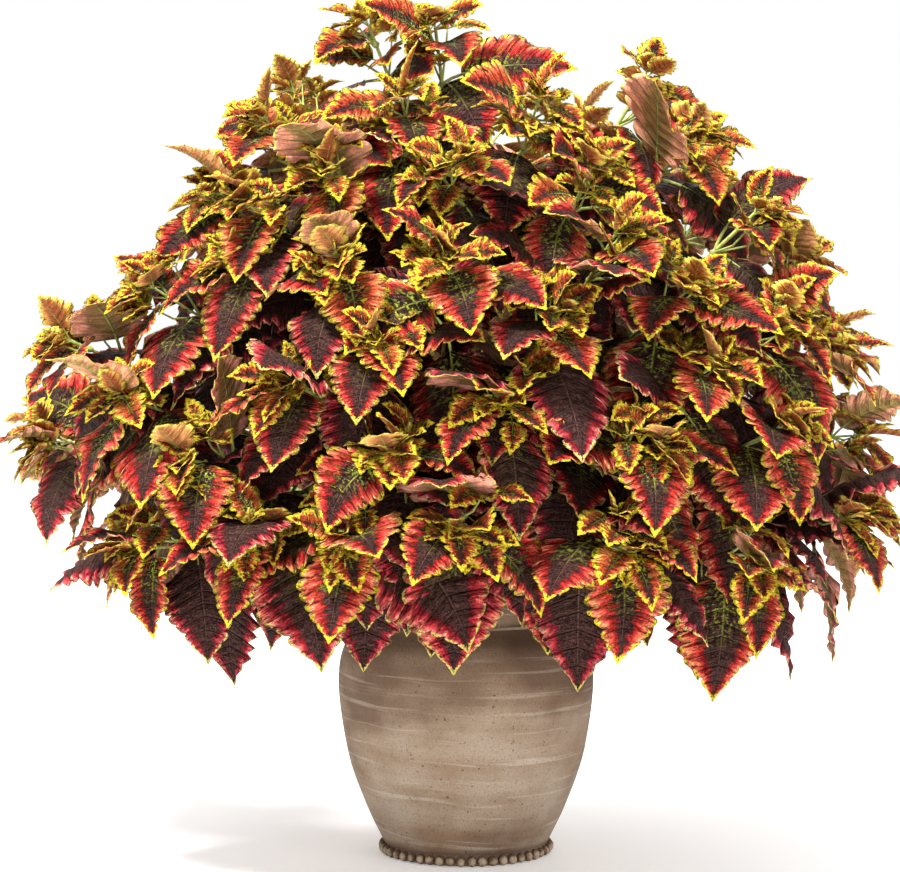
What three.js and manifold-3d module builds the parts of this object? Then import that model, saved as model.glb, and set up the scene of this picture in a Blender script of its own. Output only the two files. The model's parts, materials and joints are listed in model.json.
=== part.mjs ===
// A coleus grown as a bushy dome in a round terracotta pot. All sizes are millimetres, +Z is up, the
// front faces -Y, and the origin is the centre of the pot's foot on the surface it stands on.

import * as THREE from 'three';
import { mergeVertices } from 'three/addons/utils/BufferGeometryUtils.js';
import Module from 'manifold-3d';

const wasm = await Module();
wasm.setup();

// ---- driving dimensions: pot and soil ----
const POT_SIDES = 26;
const WALL_OUTLINE = [[84, 13], [101, 49.5], [118.5, 100.5], [128, 166], [122, 208], [98, 233]];
const WALL_STEPS = 6;
const WALL_THICKNESS = 9;
const FLOOR_THICKNESS = 12;
const COLLAR = { radius: 97, foot: 236, top: 245 };
const RIM = { radius: 101, height: 257.5, reach: 8.5, rise: 12.5, steps: 4 };
const BEADS = { count: 50, crest: 88, groove: 84, height: 11, lap: 2 };
const SOIL_TOP = 236;
const GAP = 0.4;
const WELD = 1e-5;

// ---- driving dimensions: stems ----
const RIM_RISE = 235;
const LEADER = { side: 6.6, steps: 5 };
const SHOOT = { side: 4.5, steps: 3 };
const ROOTS = { depth: 44, spacing: 15, reach: 74, rounds: 80 };
const INWARD = { highest: 900, over: 500, least: 0.15 };
const HANDLES = { start: 0.42, tip: 0.36 };
const CURVE_SAMPLES = 60;
const LOWEST_PLACE = 0.02;
const STEM_CLEARANCE = 9;
const BOWS = [0, 12, -12, 24, -24, 36, -36];
const BRANCHING = [0.45, 0.6];
const LEAN = { below: 80, above: 28, lowest: 360, highest: 820 };

// The crown is an ellipsoid about this centre; shoot tips lie on it.
const CROWN = { x: -16, y: 0, z: 380, side: 395, depth: 345, above: 430, below: 190 };

// Shoot tips of the front stems, chosen by eye. Each stem's first tip is that of its leader.
const FRONT_STEMS = [
  [[-95, -60, 820], [-60, -205, 735], [-130, -250, 665]],
  [[-30, -110, 812], [65, -190, 735], [-15, -265, 675]],
  [[172, -85, 768], [110, -235, 670], [218, -118, 708]],
  [[-188, -155, 722], [-228, -180, 652], [-190, -240, 645]],
  [[-205, -250, 590], [-290, -200, 565], [-115, -305, 590]],
  [[268, -170, 634], [328, -60, 590], [195, -265, 560]],
  [[-85, -330, 515], [-15, -325, 590], [-155, -320, 480]],
  [[75, -320, 540], [130, -280, 610], [30, -345, 465]],
  [[-375, -140, 515], [-315, -235, 465], [-410, -50, 415]],
  [[-250, -280, 410], [-302, -220, 324], [-190, -315, 340]],
  [[346, -125, 505], [290, -215, 540], [380, -40, 420]],
  [[370, -150, 350], [285, -250, 440], [255, -265, 314]],
  [[-70, -350, 420], [-110, -345, 345], [0, -360, 355]],
  [[165, -310, 425], [140, -325, 332], [220, -265, 495]],
];

// Rear stems stand in rings: how many, and the elevation of their leaders seen from the crown's centre.
const REAR_RINGS = [
  { stems: 4, elevation: -1, start: -4, end: 184 },
  { stems: 4, elevation: 33, start: -6, end: 152 },
  { stems: 2, elevation: 57, start: 10, end: 170 },
];
const REAR_DROP = 14;

// ---- driving dimensions: leaves ----
// Pairs of leaves along a shoot, from its tip down; angles in degrees, lengths along the stem in mm.
const SMALL = {
  lobes: [0.16, 0.36, 0.56], ribs: [0.38], neck: { half: 1.1, at: 6.5, depth: 1.6 }, keel: 1.1,
};
const MEDIUM = {
  lobes: [0.1, 0.24, 0.38, 0.54, 0.69], ribs: [0.42], neck: { half: 1.5, at: 8.5, depth: 2 }, keel: 1.3,
};
const LARGE = {
  lobes: [0.1, 0.24, 0.38, 0.54, 0.69], ribs: [0.3, 0.66], neck: { half: 2.1, at: 13, depth: 2.8 }, keel: 1.7,
};
const PAIRS = [
  { form: SMALL, back: 1, blade: 50, petiole: 9, opening: 38, petioleDroop: 5, bladeDroop: 26, fold: 14 },
  { form: MEDIUM, back: 20, blade: 84, petiole: 12, opening: 62, petioleDroop: 14, bladeDroop: 48, fold: 8 },
  { form: LARGE, back: 56, blade: 112, petiole: 24, opening: 80, petioleDroop: 20, bladeDroop: 50, fold: -4 },
];
const WIDTH_RATIO = 0.74;
const OUTLINE = { scale: 1.43, base: 0.5, tip: 1.25 };
const LOBE_REACH = 1.08;
const NOTCH_REACH = 0.8;
const RIB_LIFT = 0.3;
const LIGHT_LIFT = 0.8;
const LIGHT_TURN = 0.65;
const LIGHT_LIMIT = 80;
const OUTWARD_SWING = 0.6;
const LOWEST_PITCH = -86;
const ROOT_SUNK = 0.85;
const LEAST_SUNK_VOLUME = 0.4;
const GROWN = { below: 1.04, above: 0.84, lowest: 360, highest: 820 };
const RUFFLE = { height: 0.1, waves: 1.6 };
const LEAF_CLEARANCE = 0.45;
const SHARED_VOLUME = 0.05;
const CLEAN_ENTRY = 4;
const EXTRA_COST = 0.1;
const TURN_COST = 0.02;
const SHRINK_COST = 4;
const MOST_SHARED_VOLUME = 4;

// How far leaves of a pair's sizes differ: as shares of them, and in degrees either way.
const VARY = {
  opening: [0.88, 1.12], size: [0.86, 1.16], droop: [0.7, 1.3], petiole: [0.8, 1.2], width: [0.9, 1.1],
  heading: [-18, 18], fold: [-7, 7], roll: [-22, 22], sweep: [-0.16, 0.16],
};
const SEEDS = { first: 1000, step: 37 };

// Ways a leaf can turn aside to keep clear of its neighbours: degrees of heading and of pitch, and a
// smaller size. They are tried in order of how far they turn.
const HEADING_TURNS = [0, 13, -13, 27, -27, 43, -43, 60, -60];
const PITCH_TURNS = [0, 13, -13, 27, -24];
const TURNS = HEADING_TURNS.flatMap((heading) => PITCH_TURNS.map((pitch) => [heading, pitch]))
  .sort((a, b) => Math.hypot(...a) - Math.hypot(...b));
const SHRINKS = [1, 0.85, 0.7];

const degrees = THREE.MathUtils.degToRad;
const clamp = THREE.MathUtils.clamp;
const UP = new THREE.Vector3(0, 0, 1);
const STRAIGHT = 1e-6;

// A value that changes evenly with height between two heights.
function atHeight({ below, above, lowest, highest }, z) {
  return THREE.MathUtils.lerp(below, above, clamp((z - lowest) / (highest - lowest), 0, 1));
}

// A seeded draw between 0 and 1 from a linear congruential generator.
function seededDraws(seed) {
  let state = seed;
  return () => {
    state = (state * 1664525 + 1013904223) % 4294967296;
    return state / 4294967296;
  };
}

// ---- solids ----
function solidFrom(geometry) {
  const bare = geometry.index ? geometry.toNonIndexed() : geometry.clone();
  bare.deleteAttribute('normal');
  bare.deleteAttribute('uv');
  const merged = mergeVertices(bare, WELD);
  return new wasm.Manifold(new wasm.Mesh({
    numProp: 3,
    vertProperties: new Float32Array(merged.attributes.position.array),
    triVerts: new Uint32Array(merged.index.array),
  }));
}

function geometryFrom(solid) {
  const mesh = solid.getMesh();
  const geometry = new THREE.BufferGeometry();
  geometry.setAttribute('position', new THREE.BufferAttribute(mesh.vertProperties, 3));
  geometry.setIndex(new THREE.BufferAttribute(mesh.triVerts, 1));
  geometry.computeVertexNormals();
  return geometry;
}

function fuse(solids) {
  return solids.reduce((whole, solid) => whole.add(solid));
}

// Fused leaves can pinch off a scrap or seal a void; only the largest closed body is kept.
function largestBody(solid) {
  const bodies = solid.decompose();
  return bodies.reduce((best, body) => (body.volume() > best.volume() ? body : best));
}

// ---- pot ----
// The outer wall is one smooth curve; the inner one is the same curve moved in along its normals.
function wallPoints(inset) {
  const curve = new THREE.SplineCurve(WALL_OUTLINE.map(([r, z]) => new THREE.Vector2(r, z)));
  const points = [];
  for (let step = 0; step <= WALL_STEPS; step += 1) {
    const t = step / WALL_STEPS;
    const tangent = curve.getTangent(t);
    points.push(curve.getPoint(t).add(new THREE.Vector2(-tangent.y, tangent.x).multiplyScalar(inset)));
  }
  return points;
}

// From the neck down to the floor's corner. The inner wall has every second of the outer one's steps and
// the last, because the soil hides it.
function innerWallPoints(inset) {
  const kept = (_, step) => step % 2 === 1 || step === WALL_STEPS;
  const corner = new THREE.Vector2(WALL_OUTLINE[0][0] - inset, FLOOR_THICKNESS + inset - WALL_THICKNESS);
  return [...wallPoints(inset).filter(kept).reverse(), corner];
}

function lathe(points) {
  const geometry = new THREE.LatheGeometry(points, POT_SIDES);
  return geometry.rotateX(Math.PI / 2);
}

function potSolid() {
  const outline = [
    new THREE.Vector2(0, BEADS.height / 2),
    new THREE.Vector2(BEADS.groove - BEADS.lap, BEADS.height / 2),
    ...wallPoints(0),
    new THREE.Vector2(COLLAR.radius, COLLAR.foot),
    new THREE.Vector2(COLLAR.radius, COLLAR.top),
  ];
  for (let step = 0; step <= RIM.steps; step += 1) {
    const angle = Math.PI * (step / RIM.steps - 0.5);
    outline.push(new THREE.Vector2(
      RIM.radius + RIM.reach * Math.cos(angle), RIM.height + RIM.rise * Math.sin(angle)));
  }
  outline.push(new THREE.Vector2(COLLAR.radius - WALL_THICKNESS, COLLAR.top));
  outline.push(...innerWallPoints(WALL_THICKNESS), new THREE.Vector2(0, FLOOR_THICKNESS));
  return solidFrom(lathe(outline)).add(footSolid());
}

// The foot is a flat disc whose rim is scalloped into a string of beads.
function footSolid() {
  const rim = [];
  for (let corner = 0; corner < 2 * BEADS.count; corner += 1) {
    const angle = (Math.PI * corner) / BEADS.count;
    const radius = corner % 2 ? BEADS.groove : BEADS.crest;
    rim.push(new THREE.Vector2(radius * Math.cos(angle), radius * Math.sin(angle)));
  }
  const options = { depth: BEADS.height, bevelEnabled: false };
  return solidFrom(new THREE.ExtrudeGeometry(new THREE.Shape(rim), options));
}

// ---- soil ----
function soilSolid(leaders) {
  const inset = WALL_THICKNESS + GAP;
  const outline = [
    new THREE.Vector2(0, FLOOR_THICKNESS + GAP),
    ...innerWallPoints(inset).reverse(),
    new THREE.Vector2(COLLAR.radius - inset, SOIL_TOP),
    new THREE.Vector2(0, SOIL_TOP),
  ];
  let soil = solidFrom(lathe(outline));
  for (const leader of leaders) {
    soil = soil.subtract(rootHole(leader));
  }
  return soil;
}

// A stem stands in a plain square hole, the same tube with a gap all round and below.
function rootHole({ curve, side, steps }) {
  const lower = (point) => point.clone().addScaledVector(UP, -GAP);
  const path = new THREE.CubicBezierCurve3(lower(curve.v0), lower(curve.v1), curve.v2, curve.v3);
  return tubeSolid({ curve: path, side: side + 2 * GAP, steps });
}

// ---- stems ----
function outwardAt(point) {
  return new THREE.Vector3(point.x, point.y, 0).normalize();
}

// Shoots at the top of the crown grow upright; the lower ones lean out.
function tipDirection(tip) {
  const lean = degrees(atHeight(LEAN, tip.z));
  return outwardAt(tip).multiplyScalar(Math.sin(lean)).addScaledVector(UP, Math.cos(lean));
}

function crownPoint(azimuth, elevation) {
  const across = Math.cos(degrees(elevation));
  const rise = Math.sin(degrees(elevation));
  return new THREE.Vector3(
    CROWN.x + CROWN.side * across * Math.cos(degrees(azimuth)),
    CROWN.y + CROWN.depth * across * Math.sin(degrees(azimuth)),
    CROWN.z + (rise > 0 ? CROWN.above : CROWN.below) * rise);
}

function allTips() {
  const stems = FRONT_STEMS.map((tips) => tips.map(([x, y, z]) => new THREE.Vector3(x, y, z)));
  for (const ring of REAR_RINGS) {
    const share = (ring.end - ring.start) / ring.stems;
    for (let stem = 0; stem < ring.stems; stem += 1) {
      const azimuth = ring.start + share * (stem + 0.5);
      stems.push([
        crownPoint(azimuth, ring.elevation),
        crownPoint(azimuth - share / 3, ring.elevation - REAR_DROP),
        crownPoint(azimuth + share / 3, ring.elevation + REAR_DROP / 2),
      ]);
    }
  }
  return stems;
}

// Stems with high tips rise near the middle of the pot. Neighbours push each other to an even spacing.
function rootPlaces(stems) {
  const roots = stems.map(([tip]) => {
    const reach = ROOTS.reach * clamp((INWARD.highest - tip.z) / INWARD.over, INWARD.least, 1);
    return outwardAt(tip).multiplyScalar(reach);
  });
  for (let round = 0; round < ROOTS.rounds; round += 1) {
    for (let a = 0; a < roots.length; a += 1) {
      for (let b = a + 1; b < roots.length; b += 1) {
        const apart = roots[b].clone().sub(roots[a]);
        const push = (ROOTS.spacing - apart.length()) / 2;
        if (push > 0) {
          apart.normalize();
          roots[a].addScaledVector(apart, -push);
          roots[b].addScaledVector(apart, push);
        }
      }
      roots[a].clampLength(0, ROOTS.reach);
    }
  }
  return roots;
}

function shootCurve(start, startDirection, rise, tip, bow) {
  const distance = start.distanceTo(tip);
  const end = tipDirection(tip);
  const sideways = new THREE.Vector3().crossVectors(UP, outwardAt(tip)).multiplyScalar(bow);
  return new THREE.CubicBezierCurve3(
    start,
    start.clone().addScaledVector(startDirection, Math.max(HANDLES.start * distance, rise)).add(sideways),
    tip.clone().addScaledVector(end, -HANDLES.tip * distance).add(sideways),
    tip);
}

function curvesClear(curve, others) {
  const points = curve.getPoints(CURVE_SAMPLES);
  return others.every((other) => points.every((point) => (
    other.every((place) => place.distanceToSquared(point) > STEM_CLEARANCE ** 2))));
}

// Each shoot takes the first bow that keeps it clear of every other stem.
function clearCurve(start, startDirection, rise, tip, others) {
  const curves = BOWS.map((bow) => shootCurve(start, startDirection, rise, tip, bow));
  return curves.find((curve) => curvesClear(curve, others)) ?? curves[0];
}

function stemPlans() {
  const stems = allTips();
  const roots = rootPlaces(stems);
  const taken = [];
  const plans = stems.map(([tip], stem) => {
    const root = roots[stem];
    const start = new THREE.Vector3(root.x, root.y, SOIL_TOP - ROOTS.depth);
    const leader = clearCurve(start, UP, RIM_RISE, tip, taken);
    taken.push(leader.getPoints(CURVE_SAMPLES));
    return { shoots: [shootOn(leader, LEADER)] };
  });
  stems.forEach((tips, stem) => {
    const { shoots } = plans[stem];
    const others = taken.filter((_, index) => index !== stem);
    tips.slice(1).forEach((tip, branch) => {
      const back = (1 - BRANCHING[branch]) * shoots[0].length;
      const { base: start, along } = placeOnShoot(shoots[0], back);
      const toTip = tip.clone().sub(start).normalize();
      const curve = clearCurve(start, along.add(toTip).normalize(), 0, tip, others);
      shoots.push(shootOn(curve, SHOOT));
    });
    shoots.slice(1).forEach((shoot) => taken.push(shoot.curve.getPoints(CURVE_SAMPLES)));
  });
  return plans;
}

// A shoot is a square tube in a few straight lengths; its leaves stand on those lengths.
function shootOn(curve, { side, steps }) {
  const spine = curve.getSpacedPoints(steps);
  const length = spine.slice(1).reduce((sum, point, index) => sum + point.distanceTo(spine[index]), 0);
  return { curve, side, steps, spine, length };
}

function placeOnShoot({ spine, length }, back) {
  const lengths = spine.length - 1;
  const place = clamp(1 - back / length, LOWEST_PLACE, 1) * lengths;
  const index = Math.min(Math.floor(place), lengths - 1);
  const along = spine[index + 1].clone().sub(spine[index]).normalize();
  return { base: spine[index].clone().lerp(spine[index + 1], place - index), along };
}

function squareSection(side) {
  const half = side / 2;
  return new THREE.Shape([
    new THREE.Vector2(-half, -half), new THREE.Vector2(half, -half),
    new THREE.Vector2(half, half), new THREE.Vector2(-half, half),
  ]);
}

function tubeSolid({ curve, side, steps }) {
  const options = { steps, extrudePath: curve, bevelEnabled: false };
  return solidFrom(new THREE.ExtrudeGeometry(squareSection(side), options));
}

// ---- leaves ----
// Where a leaf leaves the stem, and how it would grow with nothing in its way.
function leafPlan(shoot, pair, index, partner, spin, draw) {
  const { base, along } = placeOnShoot(shoot, pair.back);
  const outward = outwardAt(base);
  const level = new THREE.Vector3().crossVectors(along, UP).normalize();
  const radial = level.applyAxisAngle(along, spin + index * Math.PI / 2 + partner * Math.PI);
  radial.addScaledVector(outward, OUTWARD_SWING).normalize();
  const vary = ([low, high]) => low + (high - low) * draw();
  const opening = degrees(pair.opening * vary(VARY.opening));
  const direction = along.clone().multiplyScalar(Math.cos(opening))
    .addScaledVector(radial, Math.sin(opening)).normalize();
  const blade = pair.blade * vary(VARY.size) * atHeight(GROWN, base.z);
  return {
    form: pair.form,
    sunk: ROOT_SUNK * shoot.side / 2,
    base,
    outward,
    blade,
    heading: Math.atan2(direction.y, direction.x) + degrees(vary(VARY.heading)),
    pitch: Math.asin(clamp(direction.z, -1, 1)),
    petioleDroop: degrees(pair.petioleDroop * vary(VARY.droop)),
    bladeDroop: degrees(pair.bladeDroop * vary(VARY.droop)),
    petiole: pair.petiole * vary(VARY.petiole),
    width: blade * WIDTH_RATIO * vary(VARY.width),
    fold: degrees(pair.fold + vary(VARY.fold)),
    sweep: vary(VARY.sweep),
    phase: 2 * Math.PI * draw(),
    rollDraw: degrees(vary(VARY.roll)),
  };
}

// A level bend of the midrib from one pitch to another, as a circular arc in its upright plane.
function arcPoint(from, to, length, distance) {
  const turn = to - from;
  if (Math.abs(turn) < STRAIGHT) {
    return [distance * Math.cos(from), distance * Math.sin(from), from];
  }
  const pitch = from + (turn * distance) / length;
  const radius = length / turn;
  return [radius * (Math.sin(pitch) - Math.sin(from)), radius * (Math.cos(from) - Math.cos(pitch)), pitch];
}

// The leaf's pose for one way of turning aside: its bends, size and the roll that faces it to the light.
function leafPose(leaf, [turnHeading, turnPitch], shrink) {
  const heading = leaf.heading + degrees(turnHeading);
  const lowest = degrees(LOWEST_PITCH);
  const start = leaf.pitch + degrees(turnPitch) / 2;
  const neck = Math.max(start - leaf.petioleDroop + degrees(turnPitch) / 2, lowest);
  const tip = Math.max(neck - leaf.bladeDroop, lowest);
  const middle = (neck + tip) / 2;
  const ahead = new THREE.Vector3(Math.cos(heading), Math.sin(heading), 0);
  const right = new THREE.Vector3(Math.sin(heading), -Math.cos(heading), 0);
  const face = ahead.clone().multiplyScalar(-Math.sin(middle)).addScaledVector(UP, Math.cos(middle));
  const light = leaf.outward.clone().addScaledVector(UP, LIGHT_LIFT);
  const limit = degrees(LIGHT_LIMIT);
  const toLight = clamp(Math.atan2(right.dot(light), face.dot(light)), -limit, limit);
  return {
    ...leaf,
    start, neck, tip, ahead, right,
    roll: LIGHT_TURN * toLight + leaf.rollDraw,
    petiole: leaf.petiole * shrink,
    blade: leaf.blade * shrink,
    width: leaf.width * shrink,
  };
}

// A point of the leaf: a distance from its root along the midrib, across it, and above its face.
function leafPoint(pose, distance, across, lift) {
  let [reach, rise, pitch] = arcPoint(pose.start, pose.neck, pose.petiole, Math.min(distance, pose.petiole));
  let sweep = 0;
  if (distance > pose.petiole) {
    const on = arcPoint(pose.neck, pose.tip, pose.blade, distance - pose.petiole);
    reach += on[0];
    rise += on[1];
    pitch = on[2];
    sweep = pose.sweep * pose.blade * ((distance - pose.petiole) / pose.blade) ** 2;
  }
  const face = pose.ahead.clone().multiplyScalar(-Math.sin(pitch)).addScaledVector(UP, Math.cos(pitch));
  const side = pose.right.clone().multiplyScalar(Math.cos(pose.roll))
    .addScaledVector(face, -Math.sin(pose.roll));
  const normal = face.multiplyScalar(Math.cos(pose.roll)).addScaledVector(pose.right, Math.sin(pose.roll));
  return pose.base.clone().addScaledVector(pose.ahead, reach).addScaledVector(UP, rise)
    .addScaledVector(side, across + sweep).addScaledVector(normal, lift);
}

// Half the blade's width at a fraction of its length: round at the base and drawn out to a long tip.
function halfWidth(pose, along) {
  return OUTLINE.scale * pose.width * along ** OUTLINE.base * (1 - along) ** OUTLINE.tip;
}

function edgePoint(pose, along, side, reach) {
  const across = halfWidth(pose, along) * reach;
  const wave = Math.sin(2 * Math.PI * RUFFLE.waves * along + pose.phase + side);
  const lift = across * Math.tan(pose.fold) + RUFFLE.height * across * wave;
  return leafPoint(pose, pose.petiole + along * pose.blade, side * across, lift);
}

// The blade is a closed lens: both faces share the scalloped edge, and each has its own ridge along
// the midrib, with the same triangles on both. It narrows to a three-sided neck, from which the
// petiole tapers to a root sunk in the stem.
function leafSolid(pose) {
  const { form } = pose;
  const points = [];
  const triangles = [];
  const add = (point) => points.push(point.x, point.y, point.z) / 3 - 1;
  const ridge = (lift) => form.ribs.map((along) => (
    add(leafPoint(pose, pose.petiole + along * pose.blade, 0, lift))));
  const left = [];
  const right = [];
  for (const [list, side] of [[left, -1], [right, 1]]) {
    list.push(add(leafPoint(pose, form.neck.at, side * form.neck.half, 0)));
    form.lobes.forEach((along, lobe) => {
      list.push(add(edgePoint(pose, along, side, lobe % 2 ? NOTCH_REACH : LOBE_REACH)));
    });
  }
  const tip = add(leafPoint(pose, pose.petiole + pose.blade, 0, 0));
  left.push(tip);
  right.push(tip);
  const upper = ridge(RIB_LIFT);
  const lower = ridge(-form.keel);
  const root = add(leafPoint(pose, -pose.sunk, 0, 0));
  const throat = add(leafPoint(pose, form.neck.at, 0, -form.neck.depth));

  const starts = [0, ...form.lobes, 1];
  const skin = (edge, ribs, flip) => {
    const face = (a, b, c) => triangles.push(...(flip ? [a, c, b] : [a, b, c]));
    let station = 0;
    for (let corner = 0; corner + 1 < edge.length; corner += 1) {
      const middle = (starts[corner] + starts[corner + 1]) / 2;
      if (station + 1 < ribs.length && middle > (form.ribs[station] + form.ribs[station + 1]) / 2) {
        face(ribs[station], edge[corner], ribs[station + 1]);
        station += 1;
      }
      face(ribs[station], edge[corner], edge[corner + 1]);
    }
  };
  skin(right, upper, false);
  skin(left, upper, true);
  skin(right, lower, true);
  skin(left, lower, false);
  triangles.push(right[0], upper[0], left[0], right[0], throat, lower[0], throat, left[0], lower[0]);
  triangles.push(right[0], left[0], root, throat, right[0], root, left[0], throat, root);

  const geometry = new THREE.BufferGeometry();
  geometry.setAttribute('position', new THREE.BufferAttribute(new Float32Array(points), 3));
  geometry.setIndex(triangles);
  return solidFrom(geometry);
}

function boxesMeet(a, b, margin) {
  return [0, 1, 2].every((axis) => (
    a.min[axis] - margin < b.max[axis] && b.min[axis] - margin < a.max[axis]));
}

// How a leaf fares among what is already placed: null if it comes too near another stem's pieces or
// the pot, or else the volume it shares with pieces of its own stem.
function crossing(solid, { stem, shoot }, placed) {
  const box = solid.boundingBox();
  let shared = 0;
  for (const piece of placed) {
    if (!boxesMeet(box, piece.box, LEAF_CLEARANCE)) {
      continue;
    }
    if (piece.stem !== stem) {
      if (solid.minGap(piece.solid, 2 * LEAF_CLEARANCE) < LEAF_CLEARANCE) {
        return null;
      }
    } else if (!piece.tube || piece.shoot !== shoot) {
      shared += solid.intersect(piece.solid).volume();
    }
  }
  return shared;
}

// Takes the first way of turning aside that sinks the root well in, crosses nothing and enters the stem
// through one flat side, or else the least bad one: each extra triangle where it enters counts as a
// little shared volume.
function placeLeaf(leaf, tube, placed) {
  let best = null;
  for (const shrink of SHRINKS) {
    for (const [index, turn] of TURNS.entries()) {
      const solid = leafSolid(leafPose(leaf, turn, shrink));
      const outside = solid.subtract(tube);
      const sunk = solid.volume() - outside.volume();
      const shared = sunk > LEAST_SUNK_VOLUME ? crossing(outside, leaf, placed) : null;
      if (shared === null) {
        continue;
      }
      const extra = Math.max(0, outside.numTri() - solid.numTri() - CLEAN_ENTRY);
      const cost = shared + EXTRA_COST * extra;
      if (cost < SHARED_VOLUME) {
        return { solid, outside, shared };
      }
      const total = cost + TURN_COST * index + SHRINK_COST * (1 - shrink);
      if (best === null || total < best.total) {
        best = { solid, outside, shared, total };
      }
    }
  }
  return best;
}

// Every leaf of a stem: on each shoot, pairs at right angles to the last. Of the youngest pair, and of
// the oldest pair of a side shoot, only the leaf on the outer side is kept.
function leavesOf(plan, stem) {
  const draw = seededDraws(SEEDS.first + SEEDS.step * stem);
  const leaves = [];
  plan.shoots.forEach((shoot, branch) => {
    const spin = 2 * Math.PI * draw();
    PAIRS.forEach((pair, index) => {
      const two = [0, 1].map((partner) => leafPlan(shoot, pair, index, partner, spin, draw));
      if (pair.form === SMALL || (pair.form === LARGE && branch > 0)) {
        const facing = two.map((leaf) => (
          Math.cos(leaf.heading) * leaf.outward.x + Math.sin(leaf.heading) * leaf.outward.y));
        leaves.push({ ...two[facing[0] > facing[1] ? 0 : 1], stem, shoot: branch });
      } else {
        leaves.push(...two.map((leaf) => ({ ...leaf, stem, shoot: branch })));
      }
    });
  });
  return leaves;
}

// ---- the plant ----
const pot = potSolid();
const plans = stemPlans();
const soil = soilSolid(plans.map((plan) => plan.shoots[0]));
const placed = [pot, soil].map((solid) => ({ solid, stem: -1 }));
const stemSolids = plans.map((plan, stem) => {
  const tubes = plan.shoots.map(tubeSolid);
  tubes.forEach((solid, shoot) => placed.push({ solid, stem, tube: true, shoot }));
  return tubes;
});
placed.forEach((piece) => {
  piece.box = piece.solid.boundingBox();
});

const leaves = plans.flatMap((plan, stem) => leavesOf(plan, stem));
const leafOrder = [LARGE, MEDIUM, SMALL].flatMap((form) => leaves.filter((leaf) => leaf.form === form));
for (const leaf of leafOrder) {
  const tube = stemSolids[leaf.stem][leaf.shoot];
  const place = placeLeaf(leaf, tube, placed);
  if (place !== null && place.shared < MOST_SHARED_VOLUME) {
    const box = place.outside.boundingBox();
    placed.push({ solid: place.outside, stem: leaf.stem, tube: false, shoot: leaf.shoot, box });
    stemSolids[leaf.stem].push(place.solid);
  }
}

// ---- scene ----
const clay = new THREE.MeshStandardMaterial({ color: '#a08b78', roughness: 0.9, metalness: 0 });
const earth = new THREE.MeshStandardMaterial({ color: '#2e231b', roughness: 0.95, metalness: 0 });
const foliage = new THREE.MeshStandardMaterial({ color: '#8e2f34', roughness: 0.6, metalness: 0 });

function named(name, solid, material) {
  const mesh = new THREE.Mesh(geometryFrom(solid), material);
  mesh.name = name;
  return mesh;
}

const coleus = new THREE.Group();
coleus.add(named('pot', pot, clay));
coleus.add(named('soil', soil, earth));
stemSolids.forEach((solids, stem) => {
  const name = `leafy_stem_${String(stem + 1).padStart(2, '0')}`;
  coleus.add(named(name, largestBody(fuse(solids)), foliage));
});

export default coleus;
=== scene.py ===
"""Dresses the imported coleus: fine scalloped leaves, square stalks, whitewashed clay and loose soil."""

import json
import logging
import math
from dataclasses import dataclass, field
from typing import Callable, ClassVar, Iterable, Sequence

import bmesh
import bpy
import numpy as np
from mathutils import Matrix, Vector, kdtree

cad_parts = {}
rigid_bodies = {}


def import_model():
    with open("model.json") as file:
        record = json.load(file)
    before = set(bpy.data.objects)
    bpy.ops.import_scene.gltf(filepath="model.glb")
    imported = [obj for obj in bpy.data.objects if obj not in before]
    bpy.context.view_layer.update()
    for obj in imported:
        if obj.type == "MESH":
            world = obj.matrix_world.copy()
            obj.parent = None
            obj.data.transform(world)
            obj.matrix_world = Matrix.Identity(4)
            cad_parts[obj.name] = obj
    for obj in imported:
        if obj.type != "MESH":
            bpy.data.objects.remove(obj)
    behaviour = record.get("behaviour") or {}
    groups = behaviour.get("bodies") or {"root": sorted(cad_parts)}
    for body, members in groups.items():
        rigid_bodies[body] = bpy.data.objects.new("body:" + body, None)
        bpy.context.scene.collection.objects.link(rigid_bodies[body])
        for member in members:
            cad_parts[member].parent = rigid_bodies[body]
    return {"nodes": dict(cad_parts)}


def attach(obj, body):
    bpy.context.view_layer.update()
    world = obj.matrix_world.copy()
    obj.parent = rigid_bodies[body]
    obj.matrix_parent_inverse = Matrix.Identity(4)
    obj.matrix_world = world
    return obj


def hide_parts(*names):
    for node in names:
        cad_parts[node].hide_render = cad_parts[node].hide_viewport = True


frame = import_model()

LOG = logging.getLogger("coleus")
MM = 0.001
UP = np.array((0.0, 0.0, 1.0))
PARTNERS = (0, 1)
MIX_NODE_COLOUR = 2
RANDOM_NODE_FLOAT = 1

Point = np.ndarray
Placed = tuple[float, float, float]
Colour = tuple[float, float, float, float]


def placed(name: str, data: bpy.types.ID) -> bpy.types.Object:
    """Makes an object and links it to the scene.

    Args:
        name: Its name.
        data: The mesh, curve, light or camera that it holds.

    Returns:
        The new object.
    """
    thing = bpy.data.objects.new(name, data)
    bpy.context.scene.collection.objects.link(thing)
    return thing


# ---- shader and geometry node helpers ----


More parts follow.
